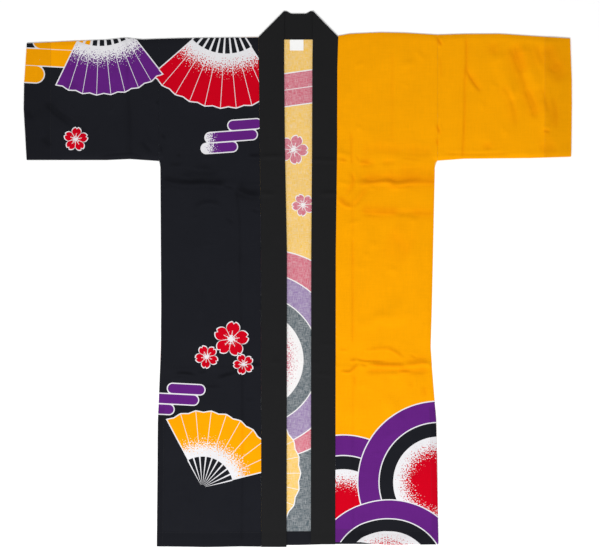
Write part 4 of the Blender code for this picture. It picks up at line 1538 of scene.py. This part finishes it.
def footRoutes(side):
    # the foot hem and the vent on one side's upper layer
    sign = -1 if side == "left" else 1
    seam = float(readAt(collarEdge, side + "Seam", hemLine))
    foot = float(readAt(sideEdge, side, hemLine))
    inset, level = sign * stitchSizes["fromSeam"], hemLine + cut["hemWidth"]
    xs = steps(seam + inset, foot - inset, stitchSizes["step"])
    rise = nearEdge(level, hemLine) * readAt(frontHem, "rise", xs)
    ys = steps(cut["ventTop"], hemLine + stitchSizes["fromFoot"], stitchSizes["step"])
    ventXs = readAt(sideEdge, side, ys) - sign * cut["ventHem"]
    return [upperRoute(xs, level + rise), upperRoute(ventXs, ys)]


def cuffRoute(sign):
    reach = sign * (cut["cuffReach"] - cut["cuffHem"])
    low = float(underarmY(reach)) + stitchSizes["fromEnds"]
    high = float(shoulderY(reach)) - stitchSizes["fromEnds"]
    return upperRoute(reach, steps(low, high, stitchSizes["step"]))


def labelRoute():
    middleX, middleY = labelSizes["middle"]
    inset = stitchSizes["fromLabelEdge"]
    half, y = labelSizes["width"] / 2 - inset, middleY + labelSizes["height"] / 2 - inset
    z = labelSizes["lift"] + stitchSizes["proudOnLabel"]
    return [(x, y, z) for x in steps(middleX - half, middleX + half, stitchSizes["step"] / 2)]


def makeAllStitches():
    tree = stitchTree()
    black = footRoutes("left") + footRoutes("right") + [cuffRoute(-1)]
    routes = {"black": black, "amber": [cuffRoute(1)], "white": [labelRoute()]}
    return [makeStitches(colour, tree, lines) for colour, lines in routes.items()]


# Floor, light and camera

studio = {
    "floor": "#FCFCFC",
    "floorSize": 6,
    "floorLevel": -0.0002,
    "floorGrain": 1.5,  # soft tones in a metre
    "floorTone": (0.99, 1.0),
    "floorRoughness": 0.95,
    "world": 0.62,
    "key": 148.0,
    "keyPlace": (-0.50, -2.80, 3.10),
    "keySize": 1.3,
    "lens": 85,
    "cameraPlace": (0.0051, 0.0001, 3.196),
}


def makeFloor():
    # matt white paper, with hardly any tone
    grid = bmesh.new()
    bmesh.ops.create_grid(grid, x_segments=1, y_segments=1, size=studio["floorSize"])
    mesh = bpy.data.meshes.new("floor")
    grid.to_mesh(mesh)
    grid.free()
    floor = addObject("floor", mesh)
    floor.location.z = studio["floorLevel"]
    material, add = newMaterial("matt white paper")
    grain = add("TexNoise", add("TexCoord").outputs["Object"], studio["floorGrain"], 2.0, 0.5)
    colour = tonedColour(add, studio["floor"], grain, studio["floorTone"])
    finishSurface(add, colour, None, studio["floorRoughness"])
    mesh.materials.append(material)


def makeStudio():
    makeFloor()
    # a softbox beyond the hem and a little to the left, so that the light crosses the folds
    light = bpy.data.lights.new("key", "AREA")
    light.energy = studio["key"]
    light.size = studio["keySize"]
    lamp = addObject("key", light)
    lamp.location = studio["keyPlace"]
    lamp.rotation_euler = (-Vector(studio["keyPlace"])).to_track_quat("-Z", "Y").to_euler()
    world = bpy.data.worlds.new("studio")
    world.use_nodes = True
    background = world.node_tree.nodes["Background"].inputs
    background["Color"].default_value = (1, 1, 1, 1)
    background["Strength"].default_value = studio["world"]
    lens = bpy.data.cameras.new("camera")
    lens.lens = studio["lens"]
    camera = addObject("camera", lens)
    camera.location = studio["cameraPlace"]
    scene = bpy.context.scene
    scene.world = world
    scene.camera = camera
    scene.view_settings.view_transform = "Standard"


printTree = printGroup()
outside = printedCotton("printed plain-weave cotton, right side", printTree, outsideLook)
inside = printedCotton("printed plain-weave cotton, wrong side", printTree, insideLook)
print("print and cotton materials made")

body = makeBody([outside, inside])
print("body made")
sleeveRight = makeSleeve("sleeveRightCloth", "left", [outside, inside])
sleeveLeft = makeSleeve("sleeveLeftCloth", "right", [outside, inside])
print("sleeves made")
collar = makeCollar(blackCotton())
label = makeLabel(labelTape())
print("collar and label made")
stitches = makeAllStitches()
print("stitches made")
makeStudio()
print("floor, light and camera made")

for piece in (body, sleeveRight, sleeveLeft, collar, label, *stitches):
    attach(piece, "root")
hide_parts("body")
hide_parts("sleeve_right")
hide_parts("sleeve_left")
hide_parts("collar")
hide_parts("label")
